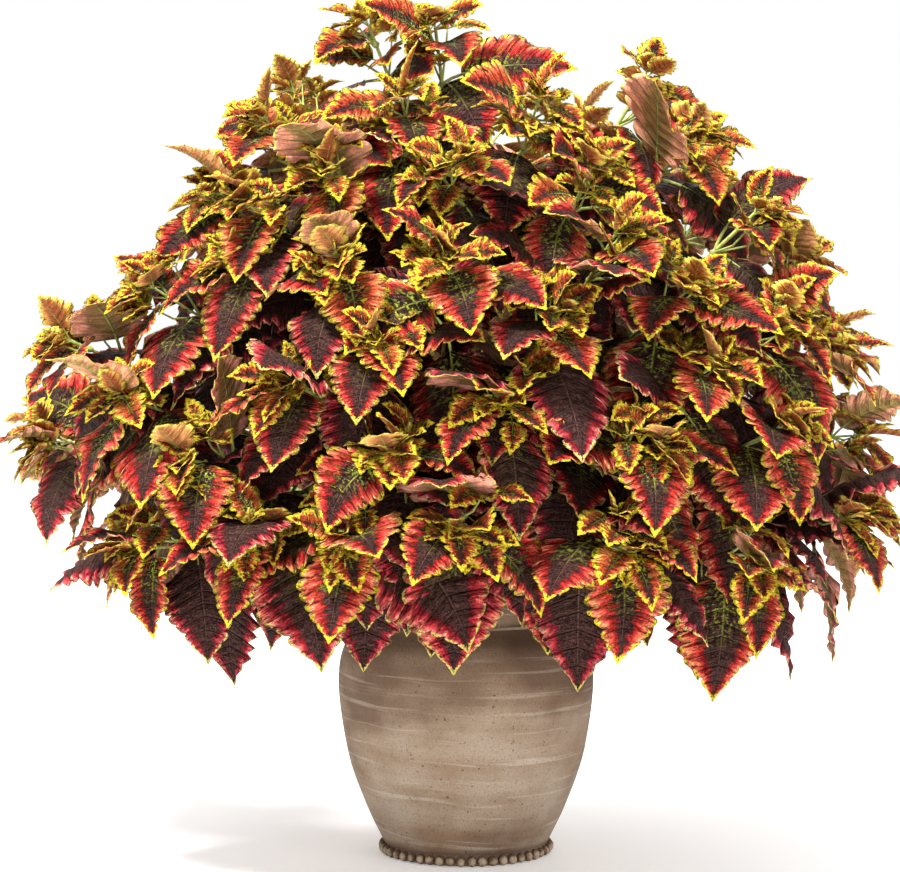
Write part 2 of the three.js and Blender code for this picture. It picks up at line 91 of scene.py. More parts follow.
class NodeBench:
    """Builds nodes in one tree, each from its type, its settings and the values or links of its sockets."""

    def __init__(self, tree: bpy.types.NodeTree) -> None:
        """Keeps the tree that nodes are added to."""
        self.tree = tree

    def add(self, kind: str, settings: dict | None = None, **sockets: object) -> bpy.types.Node:
        """Adds a node.

        Args:
            kind: The node's bl_idname.
            settings: Properties set before any socket, such as an operation. "ramp" lists ramp stops.
            sockets: Socket identifiers, with underscores for spaces, and their values or links.

        Returns:
            The new node.
        """
        node = self.tree.nodes.new(kind)
        for name, value in (settings or {}).items():
            if name == "ramp":
                self._ramp(node.color_ramp.elements, value)
            else:
                setattr(node, name, value)
        self.feed(node, **sockets)
        return node

    def wire(
        self, kind: str, settings: dict | None = None, output: int | str = 0, **sockets: object
    ) -> "Wire":
        """Adds a node as add does, and returns one of its outputs."""
        return Wire(self, self.add(kind, settings, **sockets).outputs[output])

    def feed(self, node: bpy.types.Node, **sockets: object) -> None:
        """Gives a node's sockets their values or links.

        Args:
            node: The node that owns the sockets.
            sockets: Socket identifiers, with underscores for spaces, and their values or links.
        """
        known = {socket.identifier.replace(" ", "_"): socket for socket in node.inputs}
        for name, value in sockets.items():
            self._plug(known[name], value)

    def maths(self, operation: str, *values: object) -> "Wire":
        """Adds a Math node.

        Args:
            operation: The node's operation.
            values: Its inputs, in order.

        Returns:
            The result.
        """
        node = self.add("ShaderNodeMath", {"operation": operation})
        for socket, value in zip(node.inputs, values):
            self._plug(socket, value)
        return Wire(self, node.outputs[0])

    def _plug(self, socket: bpy.types.NodeSocket, value: object) -> None:
        """Gives one socket its value or link.

        Args:
            socket: The input socket.
            value: A Wire, a socket or a plain value.
        """
        if isinstance(value, Wire):
            value = value.socket
        if isinstance(value, bpy.types.NodeSocket):
            self.tree.links.new(value, socket)
        else:
            socket.default_value = value

    @staticmethod
    def _ramp(elements: bpy.types.ColorRampElements, stops: Sequence[tuple[float, Colour]]) -> None:
        """Sets a colour ramp's stops.

        Args:
            elements: The ramp's elements.
            stops: Places from 0 to 1 and their colours.
        """
        while len(elements) < len(stops):
            elements.new(0.5)
        for element, (place, shade) in zip(elements, stops):
            element.position = place
            element.color = shade


class Wire:
    """An output socket that adds Math nodes when it is used in arithmetic."""

    def __init__(self, bench: NodeBench, socket: bpy.types.NodeSocket) -> None:
        """Wraps a socket of the bench's tree."""
        self.bench = bench
        self.socket = socket

    def math(self, operation: str, *others: object) -> "Wire":
        """Adds a Math node that starts with this value."""
        return self.bench.maths(operation, self, *others)

    def __add__(self, other: object) -> "Wire":
        """Returns the sum."""
        return self.math("ADD", other)

    def __sub__(self, other: object) -> "Wire":
        """Returns the difference."""
        return self.math("SUBTRACT", other)

    def __rsub__(self, other: object) -> "Wire":
        """Returns what is left of the other value."""
        return self.bench.maths("SUBTRACT", other, self)

    def __mul__(self, other: object) -> "Wire":
        """Returns the product."""
        return self.math("MULTIPLY", other)

    def __truediv__(self, other: object) -> "Wire":
        """Returns the quotient."""
        return self.math("DIVIDE", other)

    __radd__ = __add__
    __rmul__ = __mul__

    def centred(self) -> "Wire":
        """Returns a value of 0 to 1 moved to lie evenly about 0."""
        return self - 0.5


def between(value: Wire, low: object, high: object) -> Wire:
    """Returns 0 below low, 1 above high and a straight slope between."""
    return value.bench.wire("ShaderNodeMapRange", {"clamp": True}, Value=value, From_Min=low, From_Max=high)


def colour(*channels: int) -> Colour:
    """Turns a screen colour of 0 to 255 into the linear colour that a shader takes."""
    parts = [value / 255 for value in channels]
    return (*(part / 12.92 if part <= 0.04045 else ((part + 0.055) / 1.055) ** 2.4 for part in parts), 1.0)


class Finish:
    """A procedural material, built once."""

    name = "finish"

    def __init__(self) -> None:
        """Builds the material."""
        self.material = bpy.data.materials.new(self.name)
        self.material.use_nodes = True
        tree = self.material.node_tree
        tree.nodes.clear()
        self.bench = NodeBench(tree)
        self.shader = self.bench.add("ShaderNodeBsdfPrincipled")
        self.bench.add("ShaderNodeOutputMaterial", Surface=self.shader.outputs[0])
        self.paint()

    def paint(self) -> None:
        """Adds the nodes of the finish."""
        raise NotImplementedError

    def coat(self, **sockets: object) -> None:
        """Gives the shader's sockets their values or links."""
        self.bench.feed(self.shader, **sockets)

    def object_place(self, scale: Placed = (1.0, 1.0, 1.0)) -> Wire:
        """Returns the object coordinates, stretched by a scale."""
        place = self.bench.wire("ShaderNodeTexCoord", output="Object")
        return self.bench.wire("ShaderNodeMapping", Vector=place, Scale=scale)

    def noise(self, place: Wire, scale: float, detail: float = 3.0, rough: float = 0.55) -> Wire:
        """Returns a noise of 0 to 1.

        Args:
            place: The coordinates.
            scale: Waves per unit of them.
            detail: Octaves.
            rough: How strong the finer octaves are.

        Returns:
            The noise value.
        """
        return self.bench.wire(
            "ShaderNodeTexNoise", Vector=place, Scale=scale, Detail=detail, Roughness=rough)

    def mix(self, amount: object, first: object, second: object, mode: str = "MIX") -> Wire:
        """Mixes two colours.

        Args:
            amount: How much of the second shows.
            first: A colour or wire.
            second: A colour or wire.
            mode: The blend mode.

        Returns:
            The mixed colour.
        """
        settings = {"data_type": "RGBA", "blend_type": mode, "clamp_factor": True}
        return self.bench.wire(
            "ShaderNodeMix", settings, MIX_NODE_COLOUR, Factor_Float=amount, A_Color=first, B_Color=second)

    def shaded(self, surface: Wire, shade: Wire) -> Wire:
        """Returns a colour made lighter or darker by a value around 1."""
        return self.mix(1.0, surface, self.join(shade, shade, shade), "MULTIPLY")

    def separate(self, vector: Wire) -> tuple[Wire, Wire, Wire]:
        """Splits a vector into its parts."""
        node = self.bench.add("ShaderNodeSeparateXYZ", Vector=vector)
        return tuple(Wire(self.bench, output) for output in node.outputs)

    def join(self, x: object, y: object, z: object) -> Wire:
        """Joins three values into a vector."""
        return self.bench.wire("ShaderNodeCombineXYZ", X=x, Y=y, Z=z)

    def attribute(self, name: str) -> Wire:
        """Returns a number stored on the mesh."""
        return self.bench.wire("ShaderNodeAttribute", {"attribute_name": name}, "Fac")

    def bump(self, height: Wire, distance: float, strength: float) -> Wire:
        """Returns a normal bumped by a height in metres times distance."""
        return self.bench.wire("ShaderNodeBump", Height=height, Strength=strength, Distance=distance)


class LeafFinish(Finish):
    """What both faces of a leaf share: its own coordinates and its vein pattern."""

    GRAINS_PER_METRE = 520.0
    BLOTCHES_PER_METRE = 90.0
    TONE_SHIFT = 90.0

    def place_on_leaf(self) -> None:
        """Reads the leaf's coordinates.

        The UV map's x counts lateral veins along the leaf and its y runs from -1 to 1 across it.
        """
        uv = self.bench.wire("ShaderNodeUVMap", {"uv_map": LeafMesh.UV})
        self.along, self.across, _ = self.separate(uv)
        self.side = self.across.math("ABSOLUTE")
        self.rim, self.age, self.tone, self.reach = (self.attribute(name) for name in LeafMesh.NUMBERS)
        self.grain = self.noise(self.object_place(), self.GRAINS_PER_METRE, 3.0, 0.65)
        self.blotch = self.noise(self.object_place(), self.BLOTCHES_PER_METRE, 2.0)
        self.from_vein = self.along.math("FRACT").centred().math("ABSOLUTE")
        self.lateral = 1.0 - between(self.from_vein, 0.015, 0.09)
        self.lobe = 1.0 - self.from_vein * 2.0
        self.midrib = 1.0 - between(self.side, 0.012, 0.04)
        shift = self.tone * self.TONE_SHIFT
        self.streak = self.noise(
            self.join(self.along * 4.6 + shift, self.across * 2.2, shift), 1.0, 4.0, 0.7)
        self.network = self.noise(
            self.join(self.along * 3.4 + shift, self.across * 8.0, shift), 1.0, 3.0, 0.6)
        fibre = self.noise(self.join(self.along * 5.0 - shift, self.across * 3.0, shift), 1.0, 2.0, 0.65)
        self.fibre = between(fibre, 0.38, 0.62)
        self.freshness = 1.0 - self.age

    def ramp(self, place: Wire, stops: Sequence[tuple[float, Colour]]) -> Wire:
        """Returns a colour that runs through stops as a value goes from 0 to 1."""
        return self.bench.wire("ShaderNodeValToRGB", {"ramp": stops}, Fac=place)


class LeafFaceFinish(LeafFinish):
    """The upper face: a dark heart with a ragged edge, a crimson to coral band and yellow lobes."""

    name = "leaf upper face"
    HEART = colour(30, 14, 9)
    HEART_VIOLET = colour(56, 32, 29)
    YOUNG_BAND = (
        (0.0, colour(106, 30, 18)), (0.4, colour(178, 76, 40)), (0.75, colour(222, 138, 76)),
        (1.0, colour(240, 200, 84)))
    MID_BAND = (
        (0.0, colour(98, 12, 16)), (0.32, colour(168, 38, 34)), (0.7, colour(208, 92, 70)),
        (1.0, colour(234, 172, 108)))
    OLD_BAND = (
        (0.0, colour(82, 10, 20)), (0.38, colour(156, 36, 48)), (0.76, colour(200, 88, 88)),
        (1.0, colour(232, 168, 128)))
    YELLOW = colour(242, 216, 58)
    GREEN_YELLOW = colour(184, 194, 40)
    CREAM = colour(236, 218, 124)
    LIME = colour(172, 188, 66)
    LILAC = colour(124, 88, 82)
    VEIN = colour(78, 14, 16)
    RELIEF = 0.0042

    def paint(self) -> None:
        """Adds the nodes of the finish."""
        self.place_on_leaf()
        old = between(self.age + self.tone.centred() * 0.5, 0.66, 0.9)
        young = 1.0 - between(self.age, 0.1, 0.46)
        heart, outward = self._heart()
        band = self._band(old, young, outward)
        violet = self.mix(self.blotch * self.age, self.HEART, self.HEART_VIOLET)
        violet = self.shaded(violet, 0.5 + self.fibre * 1.0)
        face = self.mix(heart, band, violet)
        face = self.mix(self.lateral * (1.0 - heart) * 0.35, face, self.VEIN)
        hairline = between(self.network, 0.46, 0.5) * (1.0 - between(self.network, 0.51, 0.55))
        thread = (hairline * 0.6).math("MAXIMUM", self.lateral * 0.3).math("MAXIMUM", self.midrib * 0.7)
        face = self.mix(thread * heart * 0.55, face, self.LILAC)
        face = self.mix(self._green_flecks(), face, self.LIME)
        rim_width = (2.2 + self.freshness * 5.6) * (0.4 + self.lobe * 0.8) * (0.5 + self.fibre * 0.9)
        rim = 1.0 - between(self.rim + self.streak.centred() * 3.0, rim_width * 0.6, rim_width + 0.5)
        green = between(self.network, 0.45, 0.6) * young * (1.0 - between(self.reach, 0.3, 0.9))
        yellow = self.mix(green, self.YELLOW, self.GREEN_YELLOW)
        face = self.mix(rim, face, self.mix(old, yellow, self.CREAM))
        face = self.shaded(face, self.grain.centred() * 2.3 + 1.0)
        relief = self.network * 0.9 + self.streak * 0.6 + self.fibre * 0.35 + self.grain * 0.4
        relief = relief - self.lateral * 0.9 - self.midrib * 0.9
        self.coat(
            Base_Color=face, Roughness=0.58 + self.grain.centred() * 0.3, Specular_IOR_Level=0.08,
            Normal=self.bump(relief, self.RELIEF, 0.9))

    def _heart(self) -> tuple[Wire, Wire]:
        """Lays out the face from its midrib to its rim.

        Returns:
            Where the dark heart is, and how far out from its edge the rest lies.
        """
        taper = 1.0 - self.reach * self.reach * 0.8
        edge = (0.06 + self.age * 0.7 + self.tone.centred() * 0.2) * taper + self.lobe * 0.07
        depth = self.side + self.streak.centred() * 1.15 + self.blotch.centred() * 0.25
        heart = 1.0 - between(depth, edge, edge + 0.08)
        return heart, between((depth - edge) / (1.04 - edge), 0.0, 1.0)

    def _band(self, old: Wire, young: Wire, outward: Wire) -> Wire:
        """Colours the band between the heart and the rim.

        Args:
            old: How much the leaf is an old one.
            young: How much it is a young one.
            outward: How far out from the heart's edge a point lies.

        Returns:
            The band's colour, with dark scratches and fibres.
        """
        band = self.mix(young, self.ramp(outward, self.MID_BAND), self.ramp(outward, self.YOUNG_BAND))
        band = self.mix(old, band, self.ramp(outward, self.OLD_BAND))
        scratch = between(self.network + self.streak.centred() * 0.7, 0.5, 0.6) * (1.0 - outward * 0.75)
        band = self.mix(scratch * 0.75, band, self.VEIN)
        return self.shaded(band, 0.36 + self.fibre * 1.0 + outward * 0.22)

    def _green_flecks(self) -> Wire:
        """Places green flecks near the veins, at the base of the younger leaves.

        Returns:
            How much green shows.
        """
        zone = (1.0 - between(self.side, 0.2, 0.7)) * (1.0 - between(self.reach, 0.1, 0.6))
        zone = zone * (1.0 - between(self.age + self.tone.centred() * 0.7, 0.5, 0.95))
        near_vein = 1.0 - between(self.from_vein + self.streak.centred() * 0.6, 0.03, 0.12)
        fleck = between(self.network + self.grain.centred() * 0.35 + near_vein * 0.1, 0.56, 0.61)
        return (fleck * 0.9).math("MAXIMUM", self.midrib * 0.8) * zone


class LeafBackFinish(LeafFinish):
    """The underside: dull salmon and olive, with raised green veins."""

    name = "leaf underside"
    SALMON = colour(216, 158, 112)
    PINK = colour(196, 124, 112)
    OLIVE = colour(142, 122, 60)
    DARK = colour(88, 50, 44)
    FRESH = colour(214, 156, 74)
    FRESH_HEART = colour(146, 74, 44)
    VEIN = colour(132, 150, 74)
    RIM = colour(216, 200, 84)
    RELIEF = 0.0018

    def paint(self) -> None:
        """Adds the nodes of the finish."""
        self.place_on_leaf()
        depth = self.side + self.streak.centred() * 0.8
        heart_edge = 0.15 + self.age * 0.4
        heart = 1.0 - between(depth, heart_edge, heart_edge + 0.2)
        middle = self.mix(self.age * 0.7, self.OLIVE, self.DARK)
        back = self.mix(heart * 0.85, self.mix(self.age, self.SALMON, self.PINK), middle)
        fresh = self.mix(1.0 - between(depth, 0.3, 0.75), self.FRESH, self.FRESH_HEART)
        back = self.mix(1.0 - between(self.age, 0.1, 0.5), back, fresh)
        back = self.shaded(back, 0.65 + self.fibre * 0.6)
        rim_width = (1.4 + self.freshness * 3.6) * (0.5 + self.streak)
        rim = 1.0 - between(self.rim, rim_width * 0.6, rim_width + 0.8)
        back = self.mix(rim * 0.85, back, self.RIM)
        veins = (self.lateral * 0.5).math("MAXIMUM", self.midrib)
        back = self.mix(veins * (1.0 - between(self.side, 0.75, 0.95)), back, self.VEIN)
        back = self.shaded(back, self.grain.centred() * 1.6 + 1.0)
        relief = self.lateral * 0.7 + self.midrib + self.network * 0.5
        self.coat(
            Base_Color=back, Roughness=0.68, Specular_IOR_Level=0.1,
            Normal=self.bump(relief, self.RELIEF, 0.7))


class StalkFinish(Finish):
    """Square stems and petioles: grey-green, streaked lengthways, brown in patches."""

    name = "stalk"
    GREEN = colour(134, 152, 66)
    PALE = colour(182, 188, 108)
    BROWN = colour(112, 84, 62)
    PATCHES_PER_METRE = 34.0
    STREAKS_PER_METRE = 420.0
    RELIEF = 0.0006

    def paint(self) -> None:
        """Adds the nodes of the finish."""
        patch = self.noise(self.object_place(), self.PATCHES_PER_METRE)
        streak = self.noise(self.object_place((1.0, 1.0, 0.35)), self.STREAKS_PER_METRE)
        skin = self.mix(between(streak, 0.35, 0.7), self.GREEN, self.PALE)
        skin = self.mix(between(patch, 0.5, 0.72) * 0.8, skin, self.BROWN)
        self.coat(
            Base_Color=skin, Roughness=0.5 + streak.centred() * 0.3, Specular_IOR_Level=0.25,
            Normal=self.bump(streak, self.RELIEF, 0.5))


class ClayFinish(Finish):
    """Unglazed tan clay under a thin whitewash that was dragged round it on the wheel."""

    name = "whitewashed clay"
    CLAY = colour(124, 101, 80)
    DARK_TONE = colour(80, 58, 42)
    WASH = colour(150, 135, 118)
    CHALK = colour(178, 167, 152)
    PIT = colour(58, 44, 34)
    UPPER_DARKENING_HEIGHTS = (0.11, 0.2)
    FOOT_DARKENING_HEIGHTS = (0.011, 0.019)
    RELIEF = 0.0012

    def paint(self) -> None:
        """Adds the nodes of the finish."""
        place = self.object_place()
        x, y, height = self.separate(place)
        drift = self.noise(place, 5.0, 2.0)
        tilted = height + x * 0.02 + drift.centred() * 0.02
        bands = self.noise(self.join(x * 0.1, y * 0.1, tilted), 40.0, 3.0, 0.55)
        lines = self.noise(self.join(x * 0.03, y * 0.03, tilted), 230.0, 2.0, 0.5)
        dark_noise = self.noise(self.join(x, y, height * 1.8), 7.0, 3.0, 0.5)
        cloud = self.noise(place, 22.0, 4.0, 0.6)
        grain = self.noise(place, 1100.0, 2.0, 0.6)
        speck = self.noise(place, 420.0, 2.0, 0.5)
        pits = 1.0 - between(self.noise(place, 300.0, 1.0, 0.4), 0.22, 0.29)
        # Higher up, the clay gets more dark patches, less wash and fewer chalk lines, so it is darker towards
        # the top.
        high = between(height, *self.UPPER_DARKENING_HEIGHTS)
        dark_patches = between(dark_noise + high * 0.24, 0.5, 0.74)
        wash = between(bands * 0.55 + cloud * 0.45, 0.38, 0.6) * (1.0 - dark_patches * 0.8)
        chalk = between(lines, 0.58, 0.68) * between(cloud, 0.25, 0.5) * (1.0 - high * 0.5)
        # The clay is darker from the foot up to just above the beads.
        foot_darkening = 1.0 - between(height + cloud.centred() * 0.01, *self.FOOT_DARKENING_HEIGHTS)
        surface = self.CLAY
        for amount, layer in (
            (dark_patches * 0.85, self.DARK_TONE), (wash * (0.9 - high * 0.5), self.WASH), (chalk * 0.4, self.CHALK),
            (foot_darkening * 0.55, self.DARK_TONE), (between(speck, 0.58, 0.7) * 0.35, self.DARK_TONE), (pits * 0.7, self.PIT),
        ):
            surface = self.mix(amount, surface, layer)
        relief = lines * 0.5 + bands * 0.5 + speck * 0.3 + grain * 0.2 - pits * 0.8
        self.coat(
            Base_Color=self.shaded(surface, grain.centred() * 1.1 + 1.0),
            Roughness=0.86 + cloud.centred() * 0.15, Specular_IOR_Level=0.25,
            Normal=self.bump(relief, self.RELIEF, 0.5))


class BeadFinish(Finish):
    """The clay beads: pale on their outer faces, where hands and cloths rub them, with painted shade in brown
    further in, between them and against the pot.
    """

    name = "bead clay"
    PALE = colour(172, 152, 128)
    BROWN = colour(84, 62, 42)
    OUTER_PALE_RADII = (0.0858, 0.0884)
    RELIEF = 0.0012

    def paint(self) -> None:
        """Adds the nodes of the finish."""
        place = self.object_place()
        x, y, _ = self.separate(place)
        radius = (x * x + y * y).math("SQRT")
        grain = self.noise(place, 420.0)
        patch = self.noise(place, 80.0, 2.0)
        edge = radius + grain.centred() * 0.005 + patch.centred() * 0.006
        # Painted shade: the beads turn brown further in, towards the pot wall and between them; only their
        # outer faces stay pale.
        clay = self.mix(between(edge, *self.OUTER_PALE_RADII) * 0.9, self.BROWN, self.PALE)
        self.coat(
            Base_Color=self.shaded(clay, grain.centred() * 0.5 + 1.0), Roughness=0.88,
            Normal=self.bump(grain, self.RELIEF, 0.6))


class SoilFinish(Finish):
    """Moist dark potting soil with pale fibres."""

    name = "potting soil"
    WET = colour(32, 22, 16)
    DRY = colour(74, 54, 40)
    STRAW = colour(142, 112, 80)
    RELIEF = 0.004

    def paint(self) -> None:
        """Adds the nodes of the finish."""
        clod = self.noise(self.object_place(), 120.0, 4.0, 0.6)
        fibre = self.noise(self.object_place((1.0, 0.2, 1.0)), 520.0, 2.0)
        earth = self.mix(clod, self.WET, self.DRY)
        earth = self.mix(between(fibre, 0.66, 0.72) * 0.6, earth, self.STRAW)
        self.coat(Base_Color=earth, Roughness=0.95, Normal=self.bump(clod, self.RELIEF, 0.8))


class FloorFinish(Finish):
    """A plain pale floor with a faint glow."""

    name = "pale floor"
    SHADES = (colour(246, 246, 245), colour(250, 250, 250))
    GLOW = 0.22

    def paint(self) -> None:
        """Adds the nodes of the finish."""
        pale = self.mix(self.noise(self.object_place(), 30.0, 2.0), *self.SHADES)
        self.coat(Base_Color=pale, Roughness=0.9, Emission_Color=pale, Emission_Strength=self.GLOW)


# ---- growth rules, the same as the solids' ----


@dataclass
class Draws:
    """A seeded linear congruential generator."""

    state: int
    RULE: ClassVar[tuple[int, int, int]] = (1664525, 1013904223, 4294967296)

    def __call__(self) -> float:
        """Draws the next number.

        Returns:
            A number between 0 and 1.
        """
        factor, step, size = self.RULE
        self.state = (self.state * factor + step) % size
        return self.state / size


@dataclass(frozen=True)
class LeafForm:
    """How finely a size of leaf is built.

    Attributes:
        widest: Where along the solid's edge its widest lobe stands.
        veins: Lateral veins, and so lobes, on each side of the fine leaf.
        rows: Where the mesh rows stand in each lobe, from its notch.
        columns: Places across half of the fine leaf.
        notch: How deep the notches are, as a share of half the width.
        age: 0 for the youngest leaves and 1 for the oldest.
        petiole_radius: Radius of its stalk, mm.
    """

    widest: float
    veins: int
    rows: tuple[float, ...]
    columns: tuple[float, ...]
    notch: float
    age: float
    petiole_radius: float


SMALL_WIDEST, LARGE_WIDEST = 0.56, 0.38
ROUND_ROWS = (0.0, 0.14, 0.37, 0.63, 0.86)
MINI = LeafForm(SMALL_WIDEST, 4, (0.0, 0.5), (0.0, 1.0), 0.34, 0.0, 0.0)
TINY = LeafForm(SMALL_WIDEST, 5, (0.0, 0.3, 0.7), (0.0, 0.6, 1.0), 0.34, 0.06, 0.6)
SPRIG = LeafForm(SMALL_WIDEST, 5, (0.0, 0.3, 0.7), (0.0, 1.0), 0.34, 0.03, 0.5)
SMALL = LeafForm(SMALL_WIDEST, 6, (0.0, 0.22, 0.5, 0.78), (0.0, 0.55, 1.0), 0.32, 0.16, 0.9)
MEDIUM = LeafForm(LARGE_WIDEST, 8, ROUND_ROWS, (0.0, 0.35, 0.7, 1.0), 0.27, 0.4, 1.2)
LARGE = LeafForm(LARGE_WIDEST, 9, ROUND_ROWS, (0.0, 0.3, 0.58, 0.8, 1.0), 0.21, 0.68, 1.7)
INNER = LeafForm(LARGE_WIDEST, 8, (0.0, 0.5), (0.0, 0.5, 1.0), 0.16, 0.95, 1.6)


@dataclass(frozen=True)
class Pair:
    """A pair of leaves on a shoot; lengths in mm and angles in degrees."""

    form: LeafForm
    back: float
    blade: float
    petiole: float
    opening: float
    petiole_droop: float
    blade_droop: float
    fold: float
    swing: float = 0.6


PAIRS = (
    Pair(SMALL, 1, 50, 9, 38, 5, 26, 14),
    Pair(MEDIUM, 20, 84, 12, 62, 14, 48, 8),
    Pair(LARGE, 56, 112, 24, 80, 20, 50, -4),
)
ROSETTE = (
    Pair(TINY, -1, 34, 4, 40, 4, 26, 16, 0.25),
    Pair(MINI, -4, 18, 1, 32, 2, 24, 12, 0.15),
    Pair(MINI, -6, 10, 1, 20, 0, 16, 14, 0.0),
)
BUD = (
    Pair(TINY, 1, 40, 6, 58, 8, 40, 10, 0.4),
    Pair(SPRIG, -2, 26, 3, 38, 2, 26, 16, 0.2),
    Pair(MINI, -4, 13, 1, 24, 0, 18, 12, 0.0),
)
OLD_PAIRS = (
    Pair(INNER, 98, 108, 30, 84, 26, 52, -4),
    Pair(INNER, 142, 104, 34, 84, 30, 52, -6),
    Pair(INNER, 188, 98, 34, 84, 34, 48, -6),
)
HIGH_PAIRS = (
    Pair(SMALL, 38, 62, 8, 60, 8, 40, 8),
    Pair(SMALL, 80, 66, 10, 66, 12, 44, 4),
)

WIDTH_RATIO = 0.74
OUTLINE = (1.43, 0.5, 1.25)
FULLNESS = (0.8, 0.58)
LOBE_REACH = 1.08
LIGHT_LIFT = 0.8
LIGHT_TURN = 0.65
LIGHT_LIMIT = math.radians(80)
LOWEST_PITCH = math.radians(-86)
LOWEST_PLACE = 0.02
LEAN = (80.0, 28.0)
GROWN = (1.04, 0.84)
GROWTH_HEIGHTS = (360.0, 820.0)
RUFFLE_HEIGHT = 0.1
RUFFLE_WAVES = 1.6
SAMPLES_ALONG = (0.12, 0.3, 0.48, 0.66, 0.84, 1.0)
SAMPLES_ACROSS = (-0.9, -0.45, 0.0, 0.45, 0.9)
AGEING_HEIGHT = 300
AGEING_SPAN = 450
TONE_AGE = 0.2
TIP_LEAF_AGE = 0.28
OLDER_BELOW = 0.16
YOUNGER_ABOVE = 0.12
VARY = {
    "opening": (0.88, 1.12), "size": (0.86, 1.16), "droop": (0.7, 1.3), "petiole": (0.8, 1.2),
    "width": (0.9, 1.1), "heading": (-18, 18), "fold": (-7, 7), "roll": (-22, 22),
    "sweep": (-0.16, 0.16),
}
HEADING_TURNS = (0, 13, -13, 27, -27, 43, -43, 60, -60)
PITCH_TURNS = (0, 13, -13, 27, -24)
TURNS = sorted(
    ((heading, pitch) for heading in HEADING_TURNS for pitch in PITCH_TURNS),
    key=lambda turn: math.hypot(*turn))
NEAR_TURNS = TURNS[:25]
SHRINKS = (1.0, 0.85, 0.7)
SAME_PLACE = 0.02
ROUNDING = 1e-9
STRAIGHT = 1e-6
FULL_TURN = 6.28
INSIDE_POT = -1.0
LEAST_GAP = -0.5


def unit(vector: Point) -> Point:
    """Returns the vector made one long."""
    return vector / max(float(np.linalg.norm(vector)), 1e-12)


def clamp(value: float, low: float, high: float) -> float:
    """Returns the value held between two limits."""
    return min(max(value, low), high)


def at_height(low_and_high: tuple[float, float], height: float) -> float:
    """Finds a value that changes evenly with height.

    Args:
        low_and_high: The values low on the plant and at its top.
        height: The height, mm.

    Returns:
        The value at that height.
    """
    lowest, highest = GROWTH_HEIGHTS
    share = clamp((height - lowest) / (highest - lowest), 0, 1)
    return low_and_high[0] * (1 - share) + low_and_high[1] * share


def outward_at(point: Point) -> Point:
    """Returns the level direction away from the pot's axis."""
    return unit(np.array((point[0], point[1], 0.0)))


def turned(vector: Point, axis: Point, angle: float) -> Point:
    """Returns a vector turned about a unit axis."""
    along = axis * float(axis @ vector) * (1 - math.cos(angle))
    return vector * math.cos(angle) + np.cross(axis, vector) * math.sin(angle) + along


def smoothed(points: Sequence, steps: int) -> np.ndarray:
    """Draws a smooth curve through points.

    Args:
        points: The points, in a plane or in space.
        steps: Steps between each two.

    Returns:
        The points of the curve, the last one included.
    """
    points = np.array(points, float)
    padded = np.concatenate((2 * points[:1] - points[1:2], points, 2 * points[-1:] - points[-2:-1]))
    t = np.linspace(0, 1, steps, endpoint=False)[:, None]
    runs = [
        0.5 * (2 * b + (c - a) * t + (2 * a - 5 * b + 4 * c - d) * t**2 + (3 * b - a - 3 * c + d) * t**3)
        for a, b, c, d in zip(padded, padded[1:], padded[2:], padded[3:])]
    return np.concatenate(runs + [points[-1:]])


@dataclass
class Bezier:
    """A cubic curve through space, mm."""

    points: tuple[Point, Point, Point, Point]
    DIVISIONS: ClassVar[int] = 200
    SAMPLES: ClassVar[int] = 61

    def at(self, t: np.ndarray) -> np.ndarray:
        """Finds points of the curve.

        Args:
            t: Curve parameters from 0 to 1.

        Returns:
            One point for each.
        """
        a, b, c, d = self.points
        t = t[:, None]
        s = 1 - t
        return s**3 * a + 3 * s * s * t * b + 3 * s * t * t * c + t**3 * d

    def sampled(self) -> np.ndarray:
        """Returns points at even parameters, to keep other stems away from."""
        return self.at(np.linspace(0, 1, self.SAMPLES))

    def spaced(self, steps: int) -> np.ndarray:
        """Divides the curve into equal lengths.

        Args:
            steps: How many lengths.

        Returns:
            Their ends, one more than the lengths.
        """
        places = np.linspace(0, 1, self.DIVISIONS + 1)
        points = self.at(places)
        lengths = np.concatenate(([0], np.cumsum(np.linalg.norm(np.diff(points, axis=0), axis=1))))
        return self.at(np.interp(np.linspace(0, lengths[-1], steps + 1), lengths, places))


@dataclass
class Shoot:
    """A leader, side shoot or twig: straight lengths along its spine, mm."""

    spine: np.ndarray
    side: float
    spin: float = 0.0

    @property
    def length(self) -> float:
        """The spine's whole length."""
        return float(np.linalg.norm(np.diff(self.spine, axis=0), axis=1).sum())

    def place(self, back: float) -> tuple[Point, Point]:
        """Finds a place on the shoot.

        Args:
            back: Distance down from the tip, or beyond it where it is negative.

        Returns:
            The point and the direction of growth there.
        """
        if back < 0:
            along = unit(self.spine[-1] - self.spine[-2])
            return self.spine[-1] - along * back, along
        lengths = len(self.spine) - 1
        place = clamp(1 - back / self.length, LOWEST_PLACE, 1) * lengths
        index = min(int(math.floor(place + ROUNDING)), lengths - 1)
        start, end = self.spine[index], self.spine[index + 1]
        return start + (end - start) * (place - index), unit(end - start)


